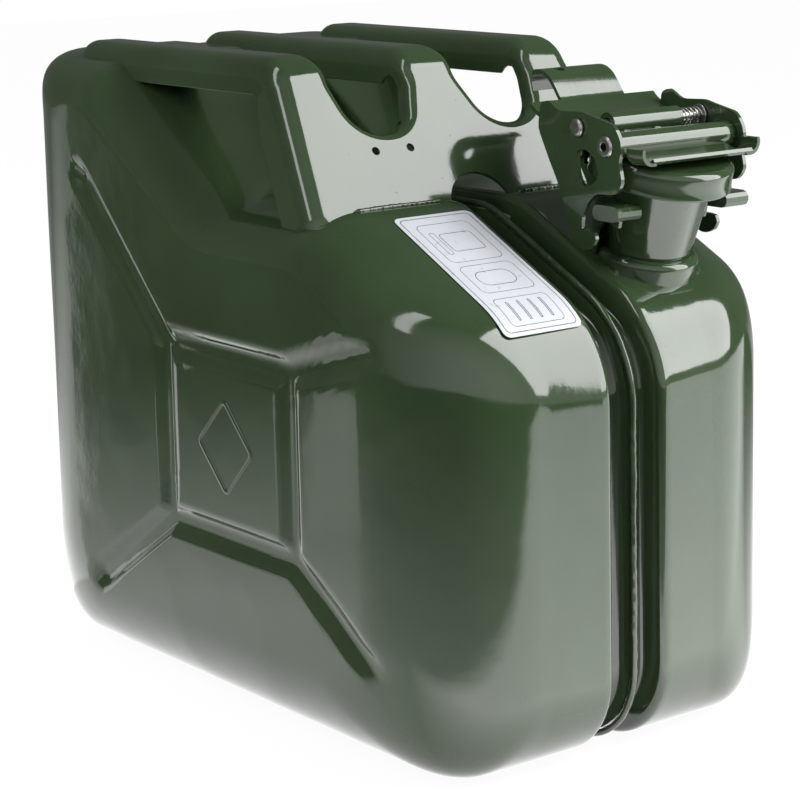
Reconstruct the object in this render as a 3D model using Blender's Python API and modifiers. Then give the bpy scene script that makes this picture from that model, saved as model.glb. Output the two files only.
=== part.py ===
"""Pressed-steel fuel can with a three-bar handle and a lever-closed spout.

X runs along the can with the spout at +X, Y across it with the label half at -Y, Z up.
The origin is at the bottom, in the middle of the can. All lengths are in metres.
"""
import math

import bmesh
import bpy
from mathutils import Matrix, Vector

# Sheet, gaps and the cuts' overrun
BODY_SHEET = 0.0010
FIT_GAP = 0.0003
OVERRUN = 0.002

# Can body: side outline at the seam
CAN_LENGTH = 0.315
CAN_WIDTH = 0.1856
DECK_HEIGHT = 0.209
HUMP_RISE = 0.053
SHOULDER_ANGLE = math.radians(25.8)
SHOULDER_SHARE = 0.2717
DECK_SHARE = 0.2222
HUMP_SLOPE_SHARE = 0.2591
SHOULDER_RUN = CAN_LENGTH * SHOULDER_SHARE
DECK_LENGTH = CAN_LENGTH * DECK_SHARE
HUMP_RUN = CAN_LENGTH * HUMP_SLOPE_SHARE
DECK_FRONT_X = CAN_LENGTH / 2 - SHOULDER_RUN
DECK_REAR_X = DECK_FRONT_X - DECK_LENGTH
FOOT_RADIUS = 0.036
BEND_RADIUS = 0.046
DECK_EDGE_RADIUS = 0.030
HOLLOW_RADIUS = 0.040
HUMP_RADIUS = 0.020
REAR_RADIUS = 0.025

# Can body: the flat side face and the round between it and the walls
FACE_ROUND = 0.034
FACE_ROUND_END = 0.051
FACE_INSET_END_SHARE = 0.173
FACE_INSET_END = CAN_LENGTH * FACE_INSET_END_SHARE
FACE_INSET_BOTTOM = 0.036
FACE_INSET_TOP = 0.021
DRAFT_SHARE = 0.045
FACE_CORNER_SHARES = (0.8, 0.8, 1.0, 1.0, 0.5, 0.4, 0.8)

# Seam channel, flange and weld bead
CHANNEL_HALF = 0.012
CHANNEL_DEPTH = 0.010
CHANNEL_LEAN = 0.001
RIM_RADIUS = 0.003
CHANNEL_ROOT = 0.0015
FLANGE_SHEET = 0.0012
BEAD_RADIUS = 0.0014
BEAD_DROP = 0.0028

# Pressed grooves on the side face
FRAME_LENGTH_SHARE = 0.2794
FRAME_HEIGHT_SHARE = 0.354
FRAME_FORWARD_SHARE = 0.0571
FRAME_RISE_SHARE = 0.543
ARM_SHARE = 0.1905
FRAME_LENGTH = CAN_LENGTH * FRAME_LENGTH_SHARE
FRAME_HEIGHT = DECK_HEIGHT * FRAME_HEIGHT_SHARE
FRAME_X = CAN_LENGTH * FRAME_FORWARD_SHARE
FRAME_Z = DECK_HEIGHT * FRAME_RISE_SHARE
ARM_LENGTH = CAN_LENGTH * ARM_SHARE
GROOVE_RADIUS = 0.008
GROOVE_DEPTH = 0.003
ARM_RISE_SHARES = ((-1.02, 1.00), (0.97, 0.28), (1.0, -0.62), (-0.97, -0.62))
DIAMOND_HALF = 0.019
DIAMOND_WIRE = 0.0016
DIAMOND_PROUD = 0.0007

# Carry handle
HANDLE_SHEET = 0.0015
HANDLE_PROUD = 0.0045
HANDLE_TOP = DECK_HEIGHT + HUMP_RISE + HANDLE_PROUD
HANDLE_REAR_GAP = 0.0375
HANDLE_REAR_X = HANDLE_REAR_GAP - CAN_LENGTH / 2
HANDLE_BEND = 0.018
BAR_SPACING_SHARE = 0.334
BAR_SPACING = CAN_WIDTH * BAR_SPACING_SHARE
BAR_WIDTH = 0.026
BAR_DEPTH = 0.0145
BAR_END_RADIUS = 0.0095
EDGE_ROUND = 0.0085
PLATE_ANGLE = math.radians(33.0)
PLATE_SETBACK = 0.0061
PLATE_FOOT_GAP = 0.0088
PLATE_HALF_FOOT = CAN_WIDTH / 2 - PLATE_FOOT_GAP
PLATE_TOP_X = DECK_FRONT_X - PLATE_SETBACK - (HANDLE_TOP - DECK_HEIGHT) * math.tan(PLATE_ANGLE)
PLATE_BEND_RADIUS = 0.030
FOOT_REACH = 0.022
LEG_DEPTH = 0.019
LEG_GROWTH = 0.015
SCALLOP_RADIUS = 0.0150
SCALLOP_SHIFT = 0.0015
SCALLOP_Y = BAR_SPACING / 2 + SCALLOP_SHIFT
SCALLOP_DROP = 0.0300
SCALLOP_FLARE = math.radians(17.0)
SCALLOP_ROUND = 0.0050
SCALLOP_DEPTH = 0.0075
ARCH_HALF = 0.0145
ARCH_RISE = 0.011
PLATE_HOLE_RADIUS = 0.0018
PLATE_HOLE_Y = 0.0325
PLATE_HOLE_SPACING = 0.0168
PLATE_HOLE_RISE = 0.0205

# Spout: placed on the shoulder of the far half
NECK_BACK = 0.039
NECK_SIDE_SHARE = 0.21552
NECK_X = CAN_LENGTH / 2 - NECK_BACK
NECK_Y = CAN_WIDTH * NECK_SIDE_SHARE
NECK_TILT = math.radians(14.0)
NECK_SHEET = 0.0015
NECK_FOOT_RADIUS = 0.0164
NECK_TOP_RADIUS = 0.0214
NECK_LENGTH = 0.0330
NECK_LIP_RADIUS = 0.0238
NECK_LIP_RISE = 0.0062
NECK_TAIL = 0.0060
COLLAR_WIDTH = 0.0032
COLLAR_HEIGHT = 0.0040

# Lid, gasket, and the rivets through lid and clamp plate
LID_RADIUS = 0.0281
LID_SHEET = 0.0012
LID_ROUND = 0.0028
SKIRT_DEPTH = 0.0108
GASKET_THICK = 0.0024
GASKET_INNER = 0.0180
GASKET_PLATE_THICK = 0.0010
GASKET_PLATE_RADIUS = 0.0160
RIVET_RADIUS = 0.0015
RIVET_HEAD_RADIUS = 0.0026
RIVET_HEAD = 0.0008
RIVET_BACK = 0.0090
RIVET_SPREAD = 0.0080

# Clamp plate and its long barrel
CLAMP_SHEET = 0.0015
BARREL_RADIUS = 0.0050
BARREL_BORE = 0.0031
BARREL_FORWARD = 0.0020
LIP_REACH = 0.0175
LIP_DROP = 0.0058
LIP_HALF = 0.0298
LIP_EDGE = 0.0016
EAR_RADIUS = 0.0042
EAR_LENGTH = 0.0090

# Hinge at the rear of the lid
HINGE_PIN_RADIUS = 0.0018
KNUCKLE_RADIUS = 0.0034
KNUCKLE_HALF = 0.0110
HINGE_BACK = 0.0042
HINGE_RISE = 0.0014
HINGE_EAR_THICK = 0.0020
PIN_HEAD = 0.0012
PIN_HEAD_RADIUS = 0.0030
RUNNING_GAP = 0.0005

# Saddle behind the neck, with lugs and hinge ears
YOKE_SHEET = 0.0016
YOKE_RADIUS = 0.0214
YOKE_BOTTOM = 0.0040
YOKE_HEIGHT = 0.0225
YOKE_WING = 0.0060
WING_BACK_SHARE = 0.30
WING_LOW_SHARE = 0.55
EAR_ROOT_SHARE = 0.45
LUG_LENGTH = 0.0150
LUG_HEIGHT = 0.0060
LUG_FORWARD = 0.0011
LUG_DROP = 0.0250
LUG_PROUD = 0.0014

# Lever
LEVER_SHEET = 0.0016
LEVER_SIDE_GAP = 0.0045
LEVER_HALF = LID_RADIUS + LEVER_SIDE_GAP
LEVER_REACH = 0.0393
LEVER_DROP = 0.0405
NOSE_RADIUS = 0.0088
CHEEK_EASE = 0.0022
SLEEVE_RADIUS = 0.0046
SLEEVE_BORE = 0.0025
SLEEVE_BACK = 0.0155
SLEEVE_RISE = 0.0062
SLEEVE_HALF = 0.0180
TAIL_HALF = 0.0165
TAIL_LENGTH = 0.0680
TAIL_RISE = 0.0245
TAIL_CORNER = 0.0120
TAIL_HOLE_RADIUS = 0.0024
PIVOT_RADIUS = 0.0028
PIVOT_BORE = 0.0017
PIVOT_HEAD_RADIUS = 0.0044
PIVOT_HEAD = 0.0010

# Locking pin, clip and spring
LOCK_RADIUS = 0.0020
LOCK_HEAD_RADIUS = 0.0036
LOCK_HEAD = 0.0018
LOCK_TIP = 0.0022
CLIP_RADIUS = 0.0044
CLIP_THICK = 0.0010
SPRING_WIRE = 0.00045
SPRING_RADIUS = 0.0034
SPRING_TURNS = 5
POINTS_PER_TURN = 10

# Breather tube and its clip
BREATHER_RADIUS = 0.0040
BREATHER_WALL = 0.0008
BREATHER_HANG = 0.0075
CLIP_STRAP = 0.0012
CLIP_LENGTH = 0.010

# Label
LABEL_LENGTH = 0.077
LABEL_WIDTH = 0.037
LABEL_THICK = 0.0002
LABEL_SIDE_GAP = 0.004
LABEL_TOP_GAP = 0.006
LABEL_CORNER = 0.003

# Cheek outline: shares of the lever's reach behind the pivot and of its drop below it
CHEEK_SHARES = (
    (0.10, 0.215), (-0.21, 0.275), (-0.34, 0.305), (-0.68, 0.290), (-0.85, 0.385), (-0.965, 0.345),
    (-1.00, 0.110), (-0.84, -0.180), (-0.71, -0.390), (-0.62, -0.593), (-0.475, -0.960),
    (-0.385, -1.000), (-0.30, -1.000), (-0.200, -0.960), (-0.148, -0.880), (-0.175, -0.815),
    (-0.280, -0.802), (-0.361, -0.805), (-0.351, -0.691), (-0.247, -0.528), (-0.142, -0.452),
    (0.137, -0.437), (0.232, -0.326),
)
WINDOW_SHARES = (
    (-0.430, -0.070), (-0.300, -0.040), (-0.145, -0.125),
    (-0.100, -0.290), (-0.200, -0.375), (-0.330, -0.395), (-0.400, -0.290),
)
WEB_SHARES = (
    (-0.350, 0.270), (-0.430, 0.288), (-0.510, 0.325), (-0.590, 0.405), (-0.655, 0.540), (-0.705, 0.720),
    (-0.755, 0.880), (-0.825, 0.975), (-0.905, 0.965), (-0.965, 0.850), (-1.000, 0.640),
)

BODY_SEGMENTS = 36
SMALL_SEGMENTS = 20
BEND_STEPS = 6
EDGE_STEPS = 4
WEB_STEPS = 3
LABEL_STEPS = 14

GREEN = (0.020, 0.050, 0.022)
STEEL = (0.55, 0.54, 0.52)


def clear_scene():
    """Remove what the file holds, so that a second run starts clean."""
    for item in list(bpy.data.objects):
        bpy.data.objects.remove(item, do_unlink=True)


def make_collection(name):
    """Return a collection of that name in the scene."""
    collection = bpy.data.collections.get(name)
    if collection is None:
        collection = bpy.data.collections.new(name)
        bpy.context.scene.collection.children.link(collection)
    return collection


def paint(item, colour, metallic, roughness):
    """Give an object its own Principled material."""
    material = bpy.data.materials.new(item.name + "_finish")
    material.use_nodes = True
    shader = material.node_tree.nodes["Principled BSDF"]
    shader.inputs["Base Color"].default_value = (*colour, 1.0)
    shader.inputs["Metallic"].default_value = metallic
    shader.inputs["Roughness"].default_value = roughness
    item.data.materials.clear()
    item.data.materials.append(material)


def link_mesh(name, mesh, matrix=None):
    """Put a mesh in the part's collection as a named object."""
    item = bpy.data.objects.new(name, mesh)
    PART.objects.link(item)
    if matrix is not None:
        item.matrix_world = matrix
    bpy.context.view_layer.update()
    return item


def tidy_mesh(mesh):
    """Weld loose caps, drop slivers and turn the faces out."""
    work = bmesh.new()
    work.from_mesh(mesh)
    bmesh.ops.remove_doubles(work, verts=work.verts, dist=OVERRUN / 1000)
    bmesh.ops.recalc_face_normals(work, faces=work.faces)
    work.to_mesh(mesh)
    work.free()


def bake(item):
    """Replace an object's data by its evaluated mesh and drop its modifiers."""
    bpy.context.view_layer.update()
    evaluated = item.evaluated_get(bpy.context.evaluated_depsgraph_get())
    mesh = bpy.data.meshes.new_from_object(evaluated)
    if item.type == "CURVE":
        fresh = bpy.data.objects.new(item.name + "_mesh", mesh)
        PART.objects.link(fresh)
        fresh.matrix_world = item.matrix_world.copy()
        name = item.name
        bpy.data.objects.remove(item, do_unlink=True)
        fresh.name = name
        item = fresh
    else:
        item.modifiers.clear()
        item.data = mesh
    tidy_mesh(item.data)
    bpy.context.view_layer.update()
    return item


def boolean(item, other, operation, keep=False):
    """Cut, join or keep the common part of two objects, and bake the result."""
    modifier = item.modifiers.new(operation.lower(), "BOOLEAN")
    modifier.operation = operation
    modifier.solver = "EXACT"
    modifier.object = other
    bake(item)
    if not keep:
        bpy.data.objects.remove(other, do_unlink=True)
    return item


def cut(item, other, keep=False):
    """Take the other object out of this one."""
    return boolean(item, other, "DIFFERENCE", keep)


def join(item, other, keep=False):
    """Make one solid of two that overlap."""
    return boolean(item, other, "UNION", keep)


def box(name, size, centre, matrix=None):
    """Return a box of that size about a centre in the given frame."""
    work = bmesh.new()
    bmesh.ops.create_cube(work, size=1.0)
    bmesh.ops.scale(work, vec=size, verts=work.verts)
    bmesh.ops.translate(work, vec=centre, verts=work.verts)
    mesh = bpy.data.meshes.new(name)
    work.to_mesh(mesh)
    work.free()
    return link_mesh(name, mesh, matrix)


def turned(name, profile, segments=SMALL_SEGMENTS, matrix=None):
    """Turn a closed profile of (radius, height) points about Z."""
    mesh = bpy.data.meshes.new(name)
    points = [(radius, 0.0, height) for radius, height in profile]
    count = len(points)
    pairs = [(index, (index + 1) % count) for index in range(count)]
    edges = [pair for pair in pairs if max(profile[pair[0]][0], profile[pair[1]][0]) > 0.0]
    mesh.from_pydata(points, edges, [])
    item = link_mesh(name, mesh, matrix)
    screw = item.modifiers.new("turn", "SCREW")
    screw.steps = segments
    screw.render_steps = segments
    screw.use_merge_vertices = True
    screw.merge_threshold = OVERRUN / 1000
    return bake(item)


def rod(name, radius, low, high, segments=SMALL_SEGMENTS, matrix=None):
    """Return a round rod between two heights on Z."""
    return turned(name, ((0.0, high), (radius, high), (radius, low), (0.0, low)), segments, matrix)


def ring(name, outer, inner, low, high, segments=SMALL_SEGMENTS, matrix=None):
    """Return a plain tube between two heights on Z."""
    return turned(name, ((inner, high), (outer, high), (outer, low), (inner, low)), segments, matrix)


def flat_plate(name, outlines, thickness, matrix=None):
    """Return a plate cut from closed outlines in its XY plane, centred on its thickness."""
    curve = bpy.data.curves.new(name, "CURVE")
    curve.dimensions = "2D"
    curve.fill_mode = "BOTH"
    curve.extrude = thickness / 2
    for outline in outlines:
        spline = curve.splines.new("POLY")
        spline.points.add(len(outline) - 1)
        for point, (x, y) in zip(spline.points, outline):
            point.co = (x, y, 0.0, 1.0)
        spline.use_cyclic_u = True
    item = bpy.data.objects.new(name, curve)
    PART.objects.link(item)
    if matrix is not None:
        item.matrix_world = matrix
    return bake(item)


def tube(name, points, radius, resolution=2, cyclic=False, matrix=None):
    """Return a round wire along a list of points."""
    curve = bpy.data.curves.new(name, "CURVE")
    curve.dimensions = "3D"
    curve.bevel_depth = radius
    curve.bevel_resolution = resolution
    curve.use_fill_caps = not cyclic
    spline = curve.splines.new("POLY")
    spline.points.add(len(points) - 1)
    for point, place in zip(spline.points, points):
        point.co = (*place, 1.0)
    spline.use_cyclic_u = cyclic
    item = bpy.data.objects.new(name, curve)
    PART.objects.link(item)
    if matrix is not None:
        item.matrix_world = matrix
    return bake(item)


def loft(name, rings):
    """Skin a row of closed rings of equal count and close both ends."""
    work = bmesh.new()
    rows = [[work.verts.new(place) for place in row] for row in rings]
    count = len(rows[0])
    for first, second in zip(rows, rows[1:]):
        for index in range(count):
            follow = (index + 1) % count
            work.faces.new((first[index], first[follow], second[follow], second[index]))
    work.faces.new(rows[0])
    work.faces.new(list(reversed(rows[-1])))
    bmesh.ops.recalc_face_normals(work, faces=work.faces)
    mesh = bpy.data.meshes.new(name)
    work.to_mesh(mesh)
    work.free()
    return link_mesh(name, mesh)


def circle_points(radius, count, centre=(0.0, 0.0)):
    """Return points round a circle, anticlockwise."""
    return [
        (
            centre[0] + radius * math.cos(math.tau * index / count),
            centre[1] + radius * math.sin(math.tau * index / count),
        )
        for index in range(count)
    ]


def eased(outline, radius):
    """Return a closed outline with each corner cut back to a short curve of three points."""
    result = []
    places = [Vector(point) for point in outline]
    for index, corner in enumerate(places):
        back = places[index - 1] - corner
        ahead = places[(index + 1) % len(places)] - corner
        reach = min(radius, back.length / 3, ahead.length / 3)
        first = corner + back.normalized() * reach
        last = corner + ahead.normalized() * reach
        result += [tuple(first), tuple((first + last) / 4 + corner / 2), tuple(last)]
    return result


def arc_points(centre, radius, start, end, steps):
    """Return points on an arc, both ends included."""
    points = []
    for index in range(steps + 1):
        angle = start + (end - start) * index / steps
        points.append((centre[0] + radius * math.cos(angle), centre[1] + radius * math.sin(angle)))
    return points


def side_corners(inset_end=0.0, inset_bottom=0.0, inset_top=0.0):
    """Return the side outline's corners, each wall moved in by its own inset."""
    front = CAN_LENGTH / 2
    bend_height = DECK_HEIGHT - SHOULDER_RUN * math.tan(SHOULDER_ANGLE)
    hump_height = DECK_HEIGHT + HUMP_RISE
    corners = [
        Vector((front, 0.0)),
        Vector((front, bend_height)),
        Vector((DECK_FRONT_X, DECK_HEIGHT)),
        Vector((DECK_REAR_X, DECK_HEIGHT)),
        Vector((DECK_REAR_X - HUMP_RUN, hump_height)),
        Vector((-front, hump_height)),
        Vector((-front, 0.0)),
    ]
    insets = [inset_end, inset_top, inset_top, inset_top, inset_top, inset_end, inset_bottom]
    lines = []
    for index, corner in enumerate(corners):
        along = (corners[(index + 1) % len(corners)] - corner).normalized()
        inward = Vector((-along.y, along.x))
        lines.append((corner + inward * insets[index], along))
    moved = []
    for index in range(len(corners)):
        place, along = lines[index]
        before, back = lines[index - 1]
        cross = back.x * along.y - back.y * along.x
        offset = place - before
        reach = (offset.x * along.y - offset.y * along.x) / cross
        moved.append(before + back * reach)
    return moved


CORNER_STEPS = (7, 8, 3, 4, 4, 5, 7)
CORNER_RADII = (
    FOOT_RADIUS, BEND_RADIUS, DECK_EDGE_RADIUS, HOLLOW_RADIUS, HUMP_RADIUS, REAR_RADIUS, FOOT_RADIUS,
)


def filleted(corners, radii, corner_steps):
    """Round each corner and return (point, outward normal) pairs, anticlockwise."""
    result = []
    count = len(corners)
    for index, corner in enumerate(corners):
        incoming = (corner - corners[index - 1]).normalized()
        outgoing = (corners[(index + 1) % count] - corner).normalized()
        turn = math.atan2(incoming.x * outgoing.y - incoming.y * outgoing.x, incoming.dot(outgoing))
        side = 1.0 if turn > 0.0 else -1.0
        radius = radii[index]
        start = corner - incoming * radius * math.tan(abs(turn) / 2)
        inward = Vector((-incoming.y, incoming.x)) * side
        centre = start + inward * radius
        base = math.atan2(-inward.y, -inward.x)
        for step in range(corner_steps[index] + 1):
            angle = base + turn * step / corner_steps[index]
            spoke = Vector((math.cos(angle), math.sin(angle)))
            result.append((centre + spoke * radius, spoke * side))
    return result


SEAM_OUTLINE = filleted(side_corners(), CORNER_RADII, CORNER_STEPS)
FACE_OUTLINE = filleted(
    side_corners(FACE_INSET_END, FACE_INSET_BOTTOM, FACE_INSET_TOP),
    [radius * share for radius, share in zip(CORNER_RADII, FACE_CORNER_SHARES)],
    CORNER_STEPS,
)
ROUND_STEPS = 8


def seam_ring(depth, y):
    """Return the outline at the seam, moved in by a depth, at one place across."""
    return [(point.x - normal.x * depth, y, point.y - normal.y * depth) for point, normal in SEAM_OUTLINE]


def wall_rings(wall):
    """Return the rings of the near half from its flat face to the channel's rim.

    A wall above zero gives the inner surface, and one below zero a clearance envelope.
    The end walls lean inwards towards the face and start their round further from it than the
    bottom and the top, which stay level across.
    """
    start = CAN_WIDTH / 2 - FACE_ROUND_END
    rings = []
    for step in range(ROUND_STEPS + 1):
        angle = math.pi / 2 * (1.0 - step / ROUND_STEPS)
        y = start + (FACE_ROUND_END - wall) * math.sin(angle)
        row = []
        for (point, normal), (face_point, _) in zip(SEAM_OUTLINE, FACE_OUTLINE):
            end_share = normal.x ** 4
            draft_share = DRAFT_SHARE * end_share
            extent = FACE_ROUND + (FACE_ROUND_END - FACE_ROUND) * end_share
            reach_share = min(max((y - CAN_WIDTH / 2 + extent) / (extent - wall), 0.0), 1.0)
            round_share = 1.0 - math.sqrt(1.0 - reach_share ** 2)
            place = (point - normal * wall).lerp(face_point, draft_share + (1.0 - draft_share) * round_share)
            row.append((place.x, -y, place.y))
        rings.append(row)
    return rings


def half_shell(name):
    """Return the near half as a pressed pan with its channel and flange."""
    rim = CHANNEL_HALF + RIM_RADIUS
    bevel = RIM_RADIUS * (1.0 - math.sqrt(0.5))
    floor_edge = CHANNEL_HALF - CHANNEL_LEAN
    flange_edge = BEAD_DROP + BEAD_RADIUS + FIT_GAP
    outer = wall_rings(0.0)
    outer += [
        seam_ring(0.0, -rim),
        seam_ring(bevel, -(CHANNEL_HALF + bevel)),
        seam_ring(RIM_RADIUS, -CHANNEL_HALF),
        seam_ring(CHANNEL_DEPTH - CHANNEL_ROOT, -floor_edge),
        seam_ring(CHANNEL_DEPTH, -(floor_edge - CHANNEL_ROOT)),
        seam_ring(CHANNEL_DEPTH, -(FIT_GAP / 2 + FLANGE_SHEET)),
        seam_ring(flange_edge, -(FIT_GAP / 2 + FLANGE_SHEET)),
        seam_ring(flange_edge, -FIT_GAP / 2),
    ]
    inner = wall_rings(BODY_SHEET)
    inner_round = (RIM_RADIUS - BODY_SHEET) * (1.0 - math.sqrt(0.5))
    inner += [
        seam_ring(BODY_SHEET, -rim),
        seam_ring(BODY_SHEET + inner_round, -(CHANNEL_HALF + BODY_SHEET + inner_round)),
        seam_ring(RIM_RADIUS, -(CHANNEL_HALF + BODY_SHEET)),
        seam_ring(CHANNEL_DEPTH - CHANNEL_ROOT + BODY_SHEET, -(floor_edge + BODY_SHEET)),
        seam_ring(CHANNEL_DEPTH + BODY_SHEET, -(floor_edge - CHANNEL_ROOT + BODY_SHEET)),
        seam_ring(CHANNEL_DEPTH + BODY_SHEET, OVERRUN),
    ]
    shell = loft(name, outer)
    press_grooves(shell, 0.0)
    add_diamond(shell)
    hollow = loft(name + "_hollow", inner)
    press_grooves(hollow, BODY_SHEET)
    return cut(shell, hollow)


def press_grooves(item, wall):
    """Press the frame and its four arms into the side face, the same round on both surfaces."""
    radius = GROOVE_RADIUS + wall
    y = -(CAN_WIDTH / 2 - GROOVE_DEPTH + GROOVE_RADIUS)
    half_x = FRAME_LENGTH / 2
    half_z = FRAME_HEIGHT / 2
    frame = [
        (FRAME_X + sx * half_x, y, FRAME_Z + sz * half_z)
        for sx, sz in ((-1, 1), (1, 1), (1, -1), (-1, -1))
    ]
    cut(item, tube("groove_frame", frame, radius, 4, cyclic=True))
    for corner, (share_x, share_z) in zip(frame, ARM_RISE_SHARES):
        start = Vector(corner)
        end = start + Vector((share_x, 0.0, share_z)) * ARM_LENGTH
        end += (end - start).normalized() * wall
        cut(item, tube("groove_arm", [start, end], radius, 4))


def add_diamond(item):
    """Raise a plain diamond in the middle of the frame."""
    y = -(CAN_WIDTH / 2 - DIAMOND_WIRE + DIAMOND_PROUD)
    points = [(FRAME_X + x, y, FRAME_Z + z) for x, z in circle_points(DIAMOND_HALF, 4)]
    join(item, tube("diamond", points, DIAMOND_WIRE, 1, cyclic=True))


def mirrored(item, name):
    """Return a copy of an object mirrored across the seam plane."""
    mesh = item.data.copy()
    mesh.transform(Matrix.Diagonal((1.0, -1.0, 1.0, 1.0)))
    mesh.flip_normals()
    return link_mesh(name, mesh)


def clearance_envelope(name):
    """Return the can's outer form grown by the fit gap, to trim what stands on it."""
    near = wall_rings(-FIT_GAP)
    far = [[(x, -y, z) for x, y, z in row] for row in reversed(near)]
    rim = CHANNEL_HALF + RIM_RADIUS
    return loft(name, near + [seam_ring(-FIT_GAP, -rim), seam_ring(-FIT_GAP, rim)] + far)


def weld_bead():
    """Return the bead that runs round both flanges."""
    return tube("seam_weld", seam_ring(BEAD_DROP, 0.0), BEAD_RADIUS, 2, cyclic=True)


def shoulder_height(x):
    """Return the height of the shoulder's plane at the seam."""
    return DECK_HEIGHT - (x - DECK_FRONT_X) * math.tan(SHOULDER_ANGLE)


def frame_matrix(x_axis, y_axis, z_axis, origin):
    """Return a placement from three axes and an origin."""
    matrix = Matrix((x_axis, y_axis, z_axis)).transposed().to_4x4()
    matrix.translation = origin
    return matrix


# The neck's own frame: X forward along the shoulder, Y across, Z along the neck
NECK_AXIS = Vector((math.sin(NECK_TILT), 0.0, math.cos(NECK_TILT)))
NECK_FORWARD = Vector((math.cos(NECK_TILT), 0.0, -math.sin(NECK_TILT)))
ACROSS = Vector((0.0, 1.0, 0.0))
NECK_BASE = Vector((NECK_X, NECK_Y, shoulder_height(NECK_X)))
NECK_FRAME = frame_matrix(NECK_FORWARD, ACROSS, NECK_AXIS, NECK_BASE)

SHOULDER_DOWN = Vector((math.cos(SHOULDER_ANGLE), 0.0, -math.sin(SHOULDER_ANGLE)))
SHOULDER_UP = Vector((math.sin(SHOULDER_ANGLE), 0.0, math.cos(SHOULDER_ANGLE)))

# Heights along the neck
LIP_TOP = NECK_LENGTH + NECK_LIP_RISE
GASKET_LOW = LIP_TOP + FIT_GAP
LID_INSIDE = GASKET_LOW + GASKET_THICK + FIT_GAP
LID_TOP = LID_INSIDE + LID_SHEET
SKIRT_LOW = LID_TOP - SKIRT_DEPTH
CLAMP_LOW = LID_TOP + FIT_GAP
PIVOT_HEIGHT = CLAMP_LOW + BARREL_RADIUS
HINGE_POINT = Vector((-(LID_RADIUS + HINGE_BACK), 0.0, SKIRT_LOW + HINGE_RISE))

# The lever's frame is level, on its pivot
PIVOT_WORLD = NECK_FRAME @ Vector((BARREL_FORWARD, 0.0, PIVOT_HEIGHT))
LEVER_FRAME = Matrix.Translation(PIVOT_WORLD)
HINGE_WORLD = NECK_FRAME @ HINGE_POINT


def across_frame(centre):
    """Return a frame whose Z runs across the can, for rods and tubes."""
    return Matrix.Translation(centre) @ Matrix.Rotation(-math.pi / 2, 4, "X")


def upright_frame(centre, rotation=None):
    """Return a frame whose XY plane is the can's XZ plane, for plates seen from the side."""
    matrix = Matrix.Translation(centre)
    if rotation is not None:
        matrix = matrix @ rotation
    return matrix @ Matrix.Rotation(math.pi / 2, 4, "X")


def handle_place(across, along, depth):
    """Return the place in the can of a point on the unrolled handle.

    Along is zero where the bars start to bend, and grows down the plate.
    """
    turn = math.pi / 2 - PLATE_ANGLE
    angle = min(max(along / HANDLE_BEND, 0.0), turn)
    outward = Vector((math.sin(angle), 0.0, math.cos(angle)))
    onward = Vector((math.cos(angle), 0.0, -math.sin(angle)))
    start_x = PLATE_TOP_X - HANDLE_BEND * math.tan(turn / 2)
    centre = Vector((start_x, across, HANDLE_TOP - HANDLE_BEND))
    return centre + outward * (HANDLE_BEND - depth) + onward * (along - angle * HANDLE_BEND)


def handle_outline(stations):
    """Return the unrolled outline as (point, normal) pairs, with points where the bend is cut."""
    turn = math.pi / 2 - PLATE_ANGLE
    start_x = PLATE_TOP_X - HANDLE_BEND * math.tan(turn / 2)
    slope_start = HANDLE_BEND * (turn - math.tan(turn / 2))
    rear = HANDLE_REAR_X - start_x
    foot = slope_start + (HANDLE_TOP - DECK_HEIGHT) / math.cos(PLATE_ANGLE) + FOOT_REACH
    scallop = slope_start + SCALLOP_DROP / math.cos(PLATE_ANGLE)
    half = BAR_WIDTH / 2
    low_half = SCALLOP_RADIUS * math.tan((math.pi / 2 - SCALLOP_FLARE) / 2) + FIT_GAP
    flare = scallop - (BAR_SPACING / 2 - half - low_half) / math.tan(SCALLOP_FLARE)
    outer = BAR_SPACING + half
    corners = [
        (outer, rear, BAR_END_RADIUS, 4), (outer, stations[-1], PLATE_BEND_RADIUS, 1),
        (PLATE_HALF_FOOT, foot, BAR_END_RADIUS, 2), (-PLATE_HALF_FOOT, foot, BAR_END_RADIUS, 2),
        (-outer, stations[-1], PLATE_BEND_RADIUS, 1), (-outer, rear, BAR_END_RADIUS, 4),
        (half - BAR_SPACING, rear, BAR_END_RADIUS, 4), (half - BAR_SPACING, flare, SCALLOP_RADIUS, 2),
        (-SCALLOP_Y - low_half, scallop, SCALLOP_RADIUS, 6),
        (low_half - SCALLOP_Y, scallop, SCALLOP_RADIUS, 6),
        (-half, flare, SCALLOP_RADIUS, 2), (-half, rear, BAR_END_RADIUS, 4),
    ]
    corners += [(-across, along, radius, steps) for across, along, radius, steps in reversed(corners[6:])]
    places = [Vector((across, along)) for across, along, _, _ in corners]
    rounded = filleted(places, [corner[2] for corner in corners], [corner[3] for corner in corners])
    result = []
    for index, (point, normal) in enumerate(rounded):
        after, next_normal = rounded[(index + 1) % len(rounded)]
        result.append((point, normal))
        crossings = []
        for station in stations:
            if min(point.y, after.y) + FIT_GAP < station < max(point.y, after.y) - FIT_GAP:
                crossings.append((station - point.y) / (after.y - point.y))
        for share in sorted(crossings):
            result.append((point.lerp(after, share), normal.lerp(next_normal, share).normalized()))
    return result


def edge_form(point, bend_end):
    """Return how round and how deep the handle's turned-down edge is at a point of its outline."""
    bent_share = min(max(point.y / bend_end, 0.0), 1.0)
    if abs(point.x) > BAR_SPACING:
        grown_share = min(max((point.y - bend_end) / LEG_GROWTH, 0.0), 1.0)
        return EDGE_ROUND, BAR_DEPTH + (LEG_DEPTH - BAR_DEPTH) * grown_share
    radius = EDGE_ROUND + (SCALLOP_ROUND - EDGE_ROUND) * bent_share
    return radius, BAR_DEPTH + (SCALLOP_DEPTH - BAR_DEPTH) * bent_share


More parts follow.
